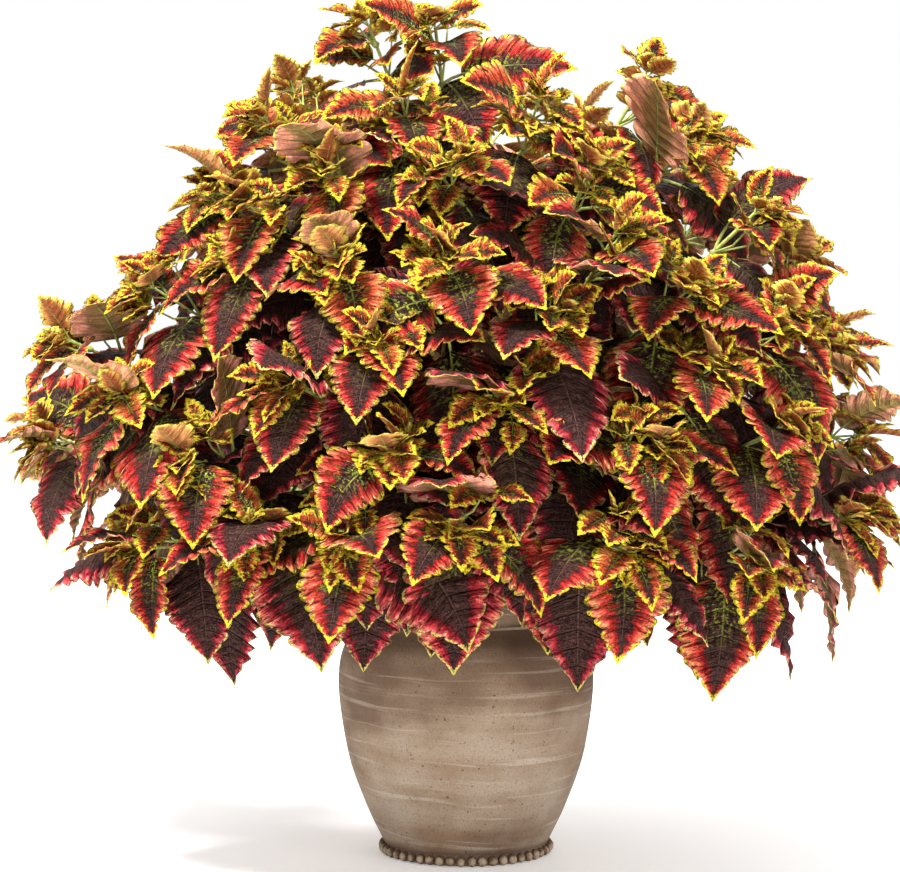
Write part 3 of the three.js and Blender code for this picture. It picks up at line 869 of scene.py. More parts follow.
@dataclass
class LeafPlan:
    """One leaf as it would grow with nothing in its way; mm and radians."""

    form: LeafForm
    base: Point
    outward: Point
    heading: float
    pitch: float
    petiole_droop: float
    blade_droop: float
    petiole: float
    blade: float
    width: float
    fold: float
    sweep: float
    phase: float
    roll_draw: float
    tone: float = 0.5

    def facing(self) -> float:
        """Returns how much the leaf heads away from the pot's axis."""
        return math.cos(self.heading) * self.outward[0] + math.sin(self.heading) * self.outward[1]

    def posed(self, turn: tuple[float, float] = (0, 0), shrink: float = 1.0) -> "LeafPose":
        """Poses the leaf.

        Args:
            turn: Degrees of heading and pitch that it turns aside.
            shrink: How much smaller it grows.

        Returns:
            The pose, rolled to face the light.
        """
        heading = self.heading + math.radians(turn[0])
        start = self.pitch + math.radians(turn[1]) / 2
        neck = max(start - self.petiole_droop + math.radians(turn[1]) / 2, LOWEST_PITCH)
        tip = max(neck - self.blade_droop, LOWEST_PITCH)
        middle = (neck + tip) / 2
        ahead = np.array((math.cos(heading), math.sin(heading), 0.0))
        right = np.array((math.sin(heading), -math.cos(heading), 0.0))
        face = -math.sin(middle) * ahead + math.cos(middle) * UP
        light = self.outward + UP * LIGHT_LIFT
        to_light = clamp(math.atan2(float(right @ light), float(face @ light)), -LIGHT_LIMIT, LIGHT_LIMIT)
        return LeafPose(
            self, start, neck, tip, ahead, right, LIGHT_TURN * to_light + self.roll_draw,
            self.petiole * shrink, self.blade * shrink, self.width * shrink)


@dataclass
class LeafPose:
    """One leaf as it stands after turning clear of its neighbours."""

    plan: LeafPlan
    start: float
    neck: float
    tip: float
    ahead: Point
    right: Point
    roll: float
    petiole: float
    blade: float
    width: float

    def points(self, distance: np.ndarray, across: np.ndarray, lift: np.ndarray) -> np.ndarray:
        """Returns points of the leaf.

        Args:
            distance: Along the midrib from the leaf's root.
            across: To the right of it.
            lift: Above the upper face.

        Returns:
            One point for each distance.
        """
        distance, across, lift = np.broadcast_arrays(
            np.asarray(distance, float), np.asarray(across, float), np.asarray(lift, float))
        on_stalk = arc(self.start, self.neck, self.petiole, np.minimum(distance, self.petiole))
        past = np.maximum(distance - self.petiole, 0)
        on_blade = arc(self.neck, self.tip, self.blade, past)
        reach = on_stalk[0] + on_blade[0]
        rise = on_stalk[1] + on_blade[1]
        pitch = np.where(distance > self.petiole, on_blade[2], on_stalk[2])
        sweep = self.plan.sweep * self.blade * (past / self.blade) ** 2
        face = -np.sin(pitch)[..., None] * self.ahead + np.cos(pitch)[..., None] * UP
        side = self.right * math.cos(self.roll) - face * math.sin(self.roll)
        normal = face * math.cos(self.roll) + self.right * math.sin(self.roll)
        return (self.plan.base + reach[..., None] * self.ahead + rise[..., None] * UP
                + (across + sweep)[..., None] * side + lift[..., None] * normal)

    def half_width(self, along: np.ndarray) -> np.ndarray:
        """Finds how wide the blade is.

        Args:
            along: Fractions of its length.

        Returns:
            Half its width at each.
        """
        along = np.clip(along, 0, 1)
        scale, base, tip = OUTLINE
        return scale * self.width * along**base * (1 - along) ** tip

    def samples(self) -> np.ndarray:
        """Marks the leaf's place, to keep other leaves away from it.

        Returns:
            Points all over the blade.
        """
        along, side = np.meshgrid(SAMPLES_ALONG, SAMPLES_ACROSS)
        across = side * self.half_width(along)
        lift = np.abs(across) * math.tan(self.plan.fold)
        return self.points(self.petiole + along * self.blade, across, lift).reshape(-1, 3)

    def corners(self) -> list[Point]:
        """Finds corners that the plain solid's leaf has.

        Returns:
            Its tip and its widest lobes.
        """
        along = self.plan.form.widest
        across = float(self.half_width(np.array(along))) * LOBE_REACH
        corners = [self.points(self.petiole + self.blade, 0.0, 0.0)]
        for side in (-1, 1):
            wave = math.sin(2 * math.pi * RUFFLE_WAVES * along + self.plan.phase + side)
            lift = across * math.tan(self.plan.fold) + RUFFLE_HEIGHT * across * wave
            corners.append(self.points(self.petiole + along * self.blade, side * across, lift))
        return corners

    def age(self) -> float:
        """Finds the leaf's age: low on the plant, leaves are older than those of the same size above.

        Returns:
            0 for the youngest leaves and 1 for the oldest.
        """
        height = clamp((self.plan.base[2] - AGEING_HEIGHT) / AGEING_SPAN, 0, 1)
        base = self.plan.form.age + TONE_AGE * (self.plan.tone - 0.5)
        if base > TIP_LEAF_AGE:
            base += OLDER_BELOW * (1 - height) - YOUNGER_ABOVE * height
        return clamp(base, 0, 1)


def arc(start: float, end: float, length: float, distance: np.ndarray) -> tuple:
    """Follows a circular arc in an upright plane.

    Args:
        start: Pitch at its start.
        end: Pitch at its end.
        length: Its length.
        distance: How far along it.

    Returns:
        The reach, the rise and the pitch there.
    """
    turn = end - start
    if abs(turn) < STRAIGHT:
        return distance * math.cos(start), distance * math.sin(start), start + 0 * distance
    pitch = start + turn * distance / length
    radius = length / turn
    return radius * (np.sin(pitch) - math.sin(start)), radius * (math.cos(start) - np.cos(pitch)), pitch


def plan_leaf(
    shoot: Shoot, pair: Pair, index: int, partner: int, spin: float, draw: Draws
) -> LeafPlan:
    """Plans a leaf of a pair.

    Args:
        shoot: What it grows on.
        pair: Its pair's sizes.
        index: The pair's number from the tip.
        partner: 0 or 1 within the pair.
        spin: The first pair's turn about the shoot.
        draw: Source of the small differences.

    Returns:
        The leaf as it would grow with nothing in its way.
    """
    base, along = shoot.place(pair.back)
    outward = outward_at(base)
    level = unit(np.cross(along, UP))
    radial = turned(level, along, spin + index * math.pi / 2 + partner * math.pi)
    radial = unit(radial + outward * pair.swing)

    def vary(name: str) -> float:
        """Returns a draw between the limits of that name."""
        low, high = VARY[name]
        return low + (high - low) * draw()

    opening = math.radians(pair.opening * vary("opening"))
    direction = unit(along * math.cos(opening) + radial * math.sin(opening))
    blade = pair.blade * vary("size") * at_height(GROWN, base[2])
    heading = math.atan2(direction[1], direction[0]) + math.radians(vary("heading"))
    petiole_droop = math.radians(pair.petiole_droop * vary("droop"))
    blade_droop = math.radians(pair.blade_droop * vary("droop"))
    petiole = pair.petiole * vary("petiole")
    width = blade * WIDTH_RATIO * vary("width")
    fold = math.radians(pair.fold + vary("fold"))
    sweep = vary("sweep")
    phase = 2 * math.pi * draw()
    roll_draw = math.radians(vary("roll"))
    return LeafPlan(
        pair.form, base, outward, heading, math.asin(clamp(direction[2], -1, 1)),
        petiole_droop, blade_droop, petiole, blade, width, fold, sweep, phase, roll_draw)


@dataclass
class Crown:
    """The plant's stems, where they rise from the soil and where their shoots end; mm and degrees."""

    centre: Placed = (-16.0, 0.0, 380.0)
    side: float = 395.0
    depth: float = 345.0
    above: float = 430.0
    below: float = 190.0
    front: tuple = (
        ((-95, -60, 820), (-60, -205, 735), (-130, -250, 665)),
        ((-30, -110, 812), (65, -190, 735), (-15, -265, 675)),
        ((172, -85, 768), (110, -235, 670), (218, -118, 708)),
        ((-188, -155, 722), (-228, -180, 652), (-190, -240, 645)),
        ((-205, -250, 590), (-290, -200, 565), (-115, -305, 590)),
        ((268, -170, 634), (328, -60, 590), (195, -265, 560)),
        ((-85, -330, 515), (-15, -325, 590), (-155, -320, 480)),
        ((75, -320, 540), (130, -280, 610), (30, -345, 465)),
        ((-375, -140, 515), (-315, -235, 465), (-410, -50, 415)),
        ((-250, -280, 410), (-302, -220, 324), (-190, -315, 340)),
        ((346, -125, 505), (290, -215, 540), (380, -40, 420)),
        ((370, -150, 350), (285, -250, 440), (255, -265, 314)),
        ((-70, -350, 420), (-110, -345, 345), (0, -360, 355)),
        ((165, -310, 425), (140, -325, 332), (220, -265, 495)),
    )
    rear: tuple = ((4, -1, -4, 184), (4, 33, -6, 152), (2, 57, 10, 170))
    rear_drop: float = 14.0
    root_reach: float = 74.0
    root_spacing: float = 15.0
    root_rounds: int = 80
    root_level: float = 236.0 - 44.0
    inward: Placed = (900.0, 500.0, 0.15)
    rim_rise: float = 235.0
    handles: tuple[float, float] = (0.42, 0.36)
    clearance: float = 9.0
    bows: tuple = (0, 12, -12, 24, -24, 36, -36)
    branching: tuple[float, float] = (0.45, 0.6)
    leader: tuple[float, int] = (6.6, 5)
    shoot: tuple[float, int] = (4.5, 3)
    first_seed: int = 1000
    seed_step: int = 37

    def crown_point(self, azimuth: float, elevation: float) -> Point:
        """Finds a point of the crown's surface.

        Args:
            azimuth: Its level angle from the centre.
            elevation: Its upright angle from there.

        Returns:
            The point, mm.
        """
        across = math.cos(math.radians(elevation))
        rise = math.sin(math.radians(elevation))
        x, y, z = self.centre
        return np.array((
            x + self.side * across * math.cos(math.radians(azimuth)),
            y + self.depth * across * math.sin(math.radians(azimuth)),
            z + (self.above if rise > 0 else self.below) * rise))

    def tips(self) -> list[list[Point]]:
        """Places the shoot tips.

        Returns:
            The tips of every stem, its leader's first.
        """
        stems = [[np.array(tip, float) for tip in tips] for tips in self.front]
        for count, elevation, start, end in self.rear:
            share = (end - start) / count
            for stem in range(count):
                azimuth = start + share * (stem + 0.5)
                stems.append([
                    self.crown_point(azimuth, elevation),
                    self.crown_point(azimuth - share / 3, elevation - self.rear_drop),
                    self.crown_point(azimuth + share / 3, elevation + self.rear_drop / 2)])
        return stems

    def roots(self, stems: list[list[Point]]) -> list[Point]:
        """Places the stems in the soil and pushes them apart to an even spacing.

        Args:
            stems: The shoot tips of every stem.

        Returns:
            Where each stem stands.
        """
        highest, over, least = self.inward
        roots = [
            outward_at(tips[0]) * self.root_reach * clamp((highest - tips[0][2]) / over, least, 1)
            for tips in stems]
        for _ in range(self.root_rounds):
            for a in range(len(roots)):
                for b in range(a + 1, len(roots)):
                    apart = roots[b] - roots[a]
                    push = (self.root_spacing - float(np.linalg.norm(apart))) / 2
                    if push > 0:
                        roots[a] = roots[a] - unit(apart) * push
                        roots[b] = roots[b] + unit(apart) * push
                length = float(np.linalg.norm(roots[a]))
                roots[a] = roots[a] * min(1.0, self.root_reach / max(length, 1e-9))
        return roots

    def clear_curve(
        self, start: Point, along: Point, rise: float, tip: Point, others: list[np.ndarray]
    ) -> Bezier:
        """Finds a curve for a shoot.

        Args:
            start: Where it starts.
            along: Its direction there.
            rise: The least length of its first handle.
            tip: Where it ends.
            others: Points of the shoots that already stand.

        Returns:
            The first curve that keeps clear of the others, or else the straightest.
        """
        distance = float(np.linalg.norm(tip - start))
        lean = math.radians(at_height(LEAN, tip[2]))
        end = outward_at(tip) * math.sin(lean) + UP * math.cos(lean)
        first, last = self.handles
        curves = []
        for bow in self.bows:
            sideways = np.cross(UP, outward_at(tip)) * bow
            curve = Bezier((
                start, start + along * max(first * distance, rise) + sideways,
                tip - end * last * distance + sideways, tip))
            curves.append(curve)
            if all(self._apart(curve.sampled(), other) for other in others):
                return curve
        return curves[0]

    def _apart(self, points: np.ndarray, other: np.ndarray) -> bool:
        """Tells whether two runs of points keep the clearance."""
        gaps = ((points[:, None, :] - other[None, :, :]) ** 2).sum(axis=2)
        return bool((gaps > self.clearance**2).all())

    def grow(self) -> list[list[Shoot]]:
        """Grows the leaders and then their side shoots, clear of each other.

        Returns:
            The shoots of every stem, its leader first.
        """
        stems = self.tips()
        taken: list[np.ndarray] = []
        plans: list[list[Shoot]] = []
        for tips, root in zip(stems, self.roots(stems)):
            start = np.array((root[0], root[1], self.root_level))
            curve = self.clear_curve(start, UP, self.rim_rise, tips[0], taken)
            taken.append(curve.sampled())
            plans.append([Shoot(curve.spaced(self.leader[1]), self.leader[0])])
        for stem, tips in enumerate(stems):
            others = [points for index, points in enumerate(taken) if index != stem]
            leader = plans[stem][0]
            for branching, tip in zip(self.branching, tips[1:]):
                start, along = leader.place((1 - branching) * leader.length)
                curve = self.clear_curve(start, unit(along + unit(tip - start)), 0, tip, others)
                plans[stem].append(Shoot(curve.spaced(self.shoot[1]), self.shoot[0]))
                taken.append(curve.sampled())
        return plans

    def leaves(self, shoots: list[Shoot], stem: int) -> tuple[list[LeafPlan], list[LeafPlan]]:
        """Plans the main leaves of a stem.

        Args:
            shoots: The stem's shoots; each is told its spin.
            stem: The stem's place in the list, from 0.

        Returns:
            The leaves that the stem's solid may hold, and the partners that it leaves out.
        """
        draw = Draws(self.first_seed + self.seed_step * stem)
        kept, spare = [], []
        for branch, shoot in enumerate(shoots):
            shoot.spin = 2 * math.pi * draw()
            for index, pair in enumerate(PAIRS):
                two = [plan_leaf(shoot, pair, index, partner, shoot.spin, draw) for partner in PARTNERS]
                if pair.form is SMALL or (pair.form is LARGE and branch > 0):
                    chosen = 0 if two[0].facing() > two[1].facing() else 1
                    spare.append(two[1 - chosen])
                    two = [two[chosen]]
                kept.extend(two)
        return kept, spare


@dataclass
class Crowd:
    """Points of the leaves that already stand, to keep new ones clear of them; mm."""

    pot_reach: tuple = ((244, 133), (276, 114))
    points: list[np.ndarray] = field(default_factory=list)
    tree: kdtree.KDTree | None = None

    def add(self, pose: LeafPose) -> None:
        """Adds a leaf, which counts after the next refresh."""
        self.points.append(pose.samples())

    def refresh(self) -> None:
        """Rebuilds the search tree."""
        self.tree = search_tree(np.concatenate(self.points))

    def gap(self, pose: LeafPose) -> float:
        """Measures how near a pose comes to the other leaves.

        Args:
            pose: How the leaf would stand.

        Returns:
            The gap, mm, or less than 0 inside the pot.
        """
        points = pose.samples()
        reach = np.hypot(points[:, 0], points[:, 1])
        if any(((points[:, 2] < height) & (reach < radius)).any() for height, radius in self.pot_reach):
            return INSIDE_POT
        return min(self.tree.find(point)[2] for point in points)

    def clearest(self, plan: LeafPlan, wanted: float, shrinks: Sequence[float] = (1.0,)) -> LeafPose | None:
        """Finds how a leaf can turn aside.

        Args:
            plan: The leaf's plan.
            wanted: The gap that is enough, mm.
            shrinks: The sizes to try.

        Returns:
            The first pose with that gap, else the clearest one, or None where all meet the pot.
        """
        best, best_gap = None, LEAST_GAP
        for shrink in shrinks:
            for turn in NEAR_TURNS:
                pose = plan.posed(turn, shrink)
                gap = self.gap(pose)
                if gap > best_gap:
                    best, best_gap = pose, gap
                if gap >= wanted:
                    return pose
        return best


def search_tree(points: Sequence) -> kdtree.KDTree:
    """Sorts points for finding the nearest one.

    Args:
        points: The points, mm.

    Returns:
        Their search tree.
    """
    tree = kdtree.KDTree(len(points))
    for index, point in enumerate(points):
        tree.insert(point, index)
    tree.balance()
    return tree


def settled(leaf: LeafPlan, corners: kdtree.KDTree) -> LeafPose | None:
    """Finds how a leaf turned aside in the solid.

    Args:
        leaf: The leaf's plan.
        corners: Corners of the stem's solid, mm.

    Returns:
        The pose whose corners the solid has, or None if the leaf was left out.
    """
    for shrink in SHRINKS:
        for turn in TURNS:
            pose = leaf.posed(turn, shrink)
            if any(corners.find(Vector(point))[2] < SAME_PLACE for point in pose.corners()):
                return pose
    return None


# ---- fine leaves ----


class LeafMesh:
    """Gathers the fine leaves of one stem into one mesh; mm, for a blade as long as FULL_BLADE."""

    UV = "leaf place"
    NUMBERS = ("rim", "age", "tone", "reach")
    FULL_BLADE = 110
    THICKNESS = 0.5
    SPINE = 0.9
    QUILT = 1.9
    CRIMP = 2.8
    LOBE_CURL = 3.0
    ROW_SPREAD = 1.08
    SCALLOP = 0.4
    SHEAR = 0.25
    SHEAR_VARIETY = 0.035
    NOTCH_VARIETY = 0.3
    SLACK_WIDTH = 0.32
    RIM_COLUMN = 0.99
    MIDRIB_COLUMN = 0.01

    def __init__(self) -> None:
        """Starts with no leaves."""
        self.points: list[np.ndarray] = []
        self.faces: list[np.ndarray] = []
        self.slots: list[np.ndarray] = []
        self.uv: list[np.ndarray] = []
        self.numbers: dict[str, list[np.ndarray]] = {name: [] for name in self.NUMBERS}
        self.count = 0

    def add(self, pose: LeafPose) -> None:
        """Adds a leaf.

        Both faces share the scalloped edge, the base row and the tip, so each leaf is closed.

        Args:
            pose: How the leaf stands.
        """
        form, own = pose.plan.form, pose.plan.phase
        phase = (np.arange(form.veins)[:, None] + np.array(form.rows)).reshape(-1, 1)
        v = np.concatenate((-np.array(form.columns[:0:-1]), np.array(form.columns)))[None, :]
        rows, columns = len(phase), v.size
        size, hand = np.abs(v), np.sign(v)
        start = (phase / form.veins) ** self.ROW_SPREAD
        shear = self.SHEAR + self.SHEAR_VARIETY * np.sin(own * 3 + hand)
        along = start + shear * size**1.2 * (1 - start) * np.minimum(1, start * 3.5)
        scallop = np.abs(np.sin(math.pi * phase)) ** self.SCALLOP
        depth = form.notch * (1 + self.NOTCH_VARIETY * np.sin(phase * 2.4 + own + 2 * hand))
        reach = LOBE_REACH - depth * (1 - scallop)
        half = np.maximum(pose.half_width(along) * (FULLNESS[0] + FULLNESS[1] * along), form.petiole_radius)
        across = v * half * (1 + (reach - 1) * size**2)
        scale = pose.blade / self.FULL_BLADE
        swing = np.sin(2 * math.pi * RUFFLE_WAVES * along + own + hand)
        lift = np.abs(across) * (math.tan(pose.plan.fold) + RUFFLE_HEIGHT * swing * size)
        quilt = np.cos(math.pi * phase) ** 2 * 4 * size * (1 - size * 0.8)
        lift = lift + self.QUILT * scale * quilt * np.minimum(1, (1 - start) * 3)
        crimp = np.sin(phase * 2.2 + own * 2 - 2 * hand) * np.minimum(1, start * 4)
        slack = np.minimum(1, half / (self.SLACK_WIDTH * pose.width)) * scale
        lift = lift + (self.CRIMP * crimp * size**2 - self.LOBE_CURL * (scallop - 0.5) * size**3) * slack
        inner = (size < self.RIM_COLUMN) & (np.arange(rows) > 0)[:, None]
        thickness = np.where(inner, self.THICKNESS * (0.5 + 0.5 * scale), 0)
        spine = np.where((size < self.MIDRIB_COLUMN) & inner, self.SPINE * scale * (1 - start), 0)
        distance = pose.petiole + along * pose.blade
        upper = pose.points(distance, across, lift).reshape(-1, 3)
        lower = pose.points(distance, across, lift - thickness - spine).reshape(-1, 3)
        tip = pose.points(pose.petiole + pose.blade, 0.0, 0.0)

        inner_ids = np.flatnonzero(inner.ravel())
        keep = np.concatenate((np.arange(rows * columns), inner_ids))
        rim = (LOBE_REACH - size * (1 + (reach - 1) * size**2)) * half
        uv = np.stack(np.broadcast_arrays(phase, v), -1).reshape(-1, 2)[keep]
        self.uv.append(np.concatenate((uv, ((form.veins, 0.0),))))
        self.points.append(np.concatenate((upper, lower[inner_ids], tip[None])))
        for name, values in zip(self.NUMBERS, (
            np.append(rim.ravel()[keep], 0.0),
            np.full(len(keep) + 1, pose.age()),
            np.full(len(keep) + 1, pose.plan.tone),
            np.append(along.ravel()[keep], 1.0),
        )):
            self.numbers[name].append(values)
        self._add_faces(rows, columns, inner_ids)
        self.count += len(keep) + 1

    def _add_faces(self, rows: int, columns: int, inner_ids: np.ndarray) -> None:
        """Adds the faces of a leaf whose points come next.

        Args:
            rows: Rows of its grid.
            columns: Columns of its grid.
            inner_ids: Grid points that the underside has for itself.
        """
        upper = np.arange(rows * columns)
        lower = upper.copy()
        lower[inner_ids] = rows * columns + np.arange(len(inner_ids))
        tip = np.full(columns - 1, rows * columns + len(inner_ids))
        faces = []
        for slot, ids in enumerate((upper.reshape(rows, columns), lower.reshape(rows, columns))):
            quads = np.stack((ids[:-1, :-1], ids[:-1, 1:], ids[1:, 1:], ids[1:, :-1]), -1).reshape(-1, 4)
            last = np.stack((ids[-1, :-1], ids[-1, 1:], tip, np.full(columns - 1, -1)), -1)
            if slot:
                quads = quads[:, [0, 3, 2, 1]]
                last = last[:, [2, 1, 0, 3]]
            faces += [quads, last]
            self.slots.append(np.full(len(quads) + len(last), slot))
        corners = np.concatenate(faces)
        self.faces.append(np.where(corners < 0, -1, corners + self.count))

    def build(self, name: str, materials: Sequence[bpy.types.Material]) -> bpy.types.Object:
        """Makes the mesh.

        Args:
            name: The piece's name.
            materials: The upper face's and the underside's.

        Returns:
            The piece.
        """
        corners = [tuple(int(i) for i in face if i >= 0) for face in np.concatenate(self.faces)]
        mesh = bpy.data.meshes.new(name)
        mesh.from_pydata((np.concatenate(self.points) * MM).tolist(), [], corners)
        for material in materials:
            mesh.materials.append(material)
        mesh.polygons.foreach_set("material_index", np.concatenate(self.slots).astype(np.int32))
        mesh.polygons.foreach_set("use_smooth", np.ones(len(corners), bool))
        loops = np.empty(len(mesh.loops), np.int32)
        mesh.loops.foreach_get("vertex_index", loops)
        uv = np.concatenate(self.uv)[loops].astype(np.float32)
        mesh.uv_layers.new(name=self.UV).uv.foreach_set("vector", uv.ravel())
        for attribute, values in self.numbers.items():
            layer = mesh.attributes.new(attribute, "FLOAT", "POINT")
            layer.data.foreach_set("value", np.concatenate(values).astype(np.float32))
        mesh.update()
        return placed(name, mesh)


# ---- Geometry Nodes ----


@dataclass
class GrowthTree:
    """A Geometry Nodes group whose inputs are a geometry, a material and named numbers."""

    name: str
    numbers: dict[str, int | float]
    group: bpy.types.NodeTree = field(init=False)
    bench: NodeBench = field(init=False)

    def __post_init__(self) -> None:
        """Makes the group's interface."""
        self.group = bpy.data.node_groups.new(self.name, "GeometryNodeTree")
        self.bench = NodeBench(self.group)
        face = self.group.interface
        face.new_socket("Geometry", in_out="INPUT", socket_type="NodeSocketGeometry")
        face.new_socket("Material", in_out="INPUT", socket_type="NodeSocketMaterial")
        for name, value in self.numbers.items():
            kind = "NodeSocketInt" if isinstance(value, int) else "NodeSocketFloat"
            face.new_socket(name, in_out="INPUT", socket_type=kind).default_value = value
        face.new_socket("Geometry", in_out="OUTPUT", socket_type="NodeSocketGeometry")
        self.source = self.bench.add("NodeGroupInput")

    def __getitem__(self, name: str) -> bpy.types.NodeSocket:
        """Returns the group input of a name."""
        return self.source.outputs[name]

    def finish(self, geometry: Wire) -> "GrowthTree":
        """Ends the tree in real geometry that carries the material.

        Args:
            geometry: What the tree has made.

        Returns:
            The tree itself.
        """
        real = self.bench.wire("GeometryNodeRealizeInstances", Geometry=geometry)
        dressed = self.bench.wire("GeometryNodeSetMaterial", Geometry=real, Material=self["Material"])
        output = self.bench.add("NodeGroupOutput")
        self.group.links.new(dressed.socket, output.inputs[0])
        return self

    def applied(self, name: str, data: bpy.types.ID, **values: object) -> bpy.types.Object:
        """Runs the tree on a mesh or curve and keeps the result as a plain mesh piece.

        Args:
            name: The piece's name.
            data: The mesh or curve that the tree starts from; it is removed.
            values: Inputs by name.

        Returns:
            The piece.
        """
        carrier = placed("carrier", data)
        modifier = carrier.modifiers.new(self.name, "NODES")
        modifier.node_group = self.group
        known = {item.name: item.identifier for item in self.group.interface.items_tree
                 if item.item_type == "SOCKET" and item.in_out == "INPUT"}
        for label, value in values.items():
            modifier[known[label]] = value
        bpy.context.view_layer.update()
        depsgraph = bpy.context.evaluated_depsgraph_get()
        mesh = bpy.data.meshes.new_from_object(carrier.evaluated_get(depsgraph))
        bpy.data.objects.remove(carrier)
        bpy.data.batch_remove([data])
        mesh.name = name
        return placed(name, mesh)


def stalk_tree() -> GrowthTree:
    """Builds the tree that turns curves into square stalks with rounded corners.

    Returns:
        The tree, for curves whose radius sets the stalk's size.
    """
    tree = GrowthTree("square stalk", {"Squareness": 1.7, "Corner": 0.36})
    add = tree.bench.wire
    section = add(
        "GeometryNodeCurvePrimitiveQuadrilateral", {"mode": "RECTANGLE"},
        Width=tree["Squareness"], Height=tree["Squareness"])
    rounded = add(
        "GeometryNodeFilletCurve", {"mode": "POLY"}, Curve=section, Count=1, Radius=tree["Corner"],
        Limit_Radius=True)
    skin = add(
        "GeometryNodeCurveToMesh", Curve=tree["Geometry"], Profile_Curve=rounded,
        Scale=add("GeometryNodeInputRadius"), Fill_Caps=True)
    return tree.finish(add("GeometryNodeSetShadeSmooth", Geometry=skin, Shade_Smooth=True))


def bead_tree() -> GrowthTree:
    """Builds the tree that strings beads round the pot's foot.

    Returns:
        The tree, with sizes in metres.
    """
    tree = GrowthTree(
        "bead string", {"Count": 50, "Ring": 0.0835, "Bead": 0.005, "Height": 0.0052, "Seed": 4})
    add = tree.bench.wire
    ring = add("GeometryNodeMeshCircle", Vertices=tree["Count"], Radius=tree["Ring"])
    bead = add("GeometryNodeMeshUVSphere", Segments=12, Rings=8, Radius=tree["Bead"])
    size = add(
        "FunctionNodeRandomValue", {"data_type": "FLOAT_VECTOR"}, Min=(0.9, 0.9, 0.95),
        Max=(1.06, 1.06, 1.08), Seed=tree["Seed"])
    string = add("GeometryNodeInstanceOnPoints", Points=ring, Instance=bead, Scale=size)
    lift = add("ShaderNodeCombineXYZ", Z=tree["Height"])
    raised = add("GeometryNodeTransform", Geometry=string, Translation=lift)
    return tree.finish(add("GeometryNodeSetShadeSmooth", Geometry=raised, Shade_Smooth=True))


def crumb_tree() -> GrowthTree:
    """Builds the tree that scatters crumbs over the soil's surface.

    Returns:
        The tree, with sizes in metres.
    """
    tree = GrowthTree(
        "soil crumbs", {"Density": 42000.0, "Smallest": 0.5, "Largest": 1.7, "Crumb": 0.0022, "Seed": 9})
    add = tree.bench.wire
    points = add(
        "GeometryNodeDistributePointsOnFaces", Mesh=tree["Geometry"], Density=tree["Density"],
        Seed=tree["Seed"])
    crumb = add("GeometryNodeMeshIcoSphere", Radius=tree["Crumb"], Subdivisions=1)
    size = add(
        "FunctionNodeRandomValue", {"data_type": "FLOAT"}, RANDOM_NODE_FLOAT,
        Min_001=tree["Smallest"], Max_001=tree["Largest"], Seed=tree["Seed"])
    turn = add(
        "FunctionNodeRandomValue", {"data_type": "FLOAT_VECTOR"}, Max=(FULL_TURN, FULL_TURN, FULL_TURN),
        Seed=tree["Seed"])
    return tree.finish(
        add("GeometryNodeInstanceOnPoints", Points=points, Instance=crumb, Rotation=turn, Scale=size))


# ---- sub-assemblies ----


def lathe_piece(name: str, outline: np.ndarray, sides: int, material: bpy.types.Material) -> bpy.types.Object:
    """Turns an outline about the pot's axis.

    Args:
        name: The piece's name.
        outline: Radius and height, mm, from the axis and back to it, anticlockwise.
        sides: Steps round.
        material: Its finish.

    Returns:
        The piece.
    """
    work = bmesh.new()
    angles = np.arange(sides) * 2 * math.pi / sides
    rings = [
        [work.verts.new((radius * MM * math.cos(a), radius * MM * math.sin(a), height * MM))
         for a in (angles if radius > 0 else angles[:1])]
        for radius, height in outline]
    for low, high in zip(rings, rings[1:]):
        for step in range(sides):
            after = (step + 1) % sides
            if len(low) == 1:
                work.faces.new((low[0], high[after], high[step]))
            elif len(high) == 1:
                work.faces.new((low[step], low[after], high[0]))
            else:
                work.faces.new((low[step], low[after], high[after], high[step]))
    bmesh.ops.recalc_face_normals(work, faces=work.faces)
    for face in work.faces:
        face.smooth = True
    mesh = bpy.data.meshes.new(name)
    work.to_mesh(mesh)
    work.free()
    mesh.materials.append(material)
    return placed(name, mesh)


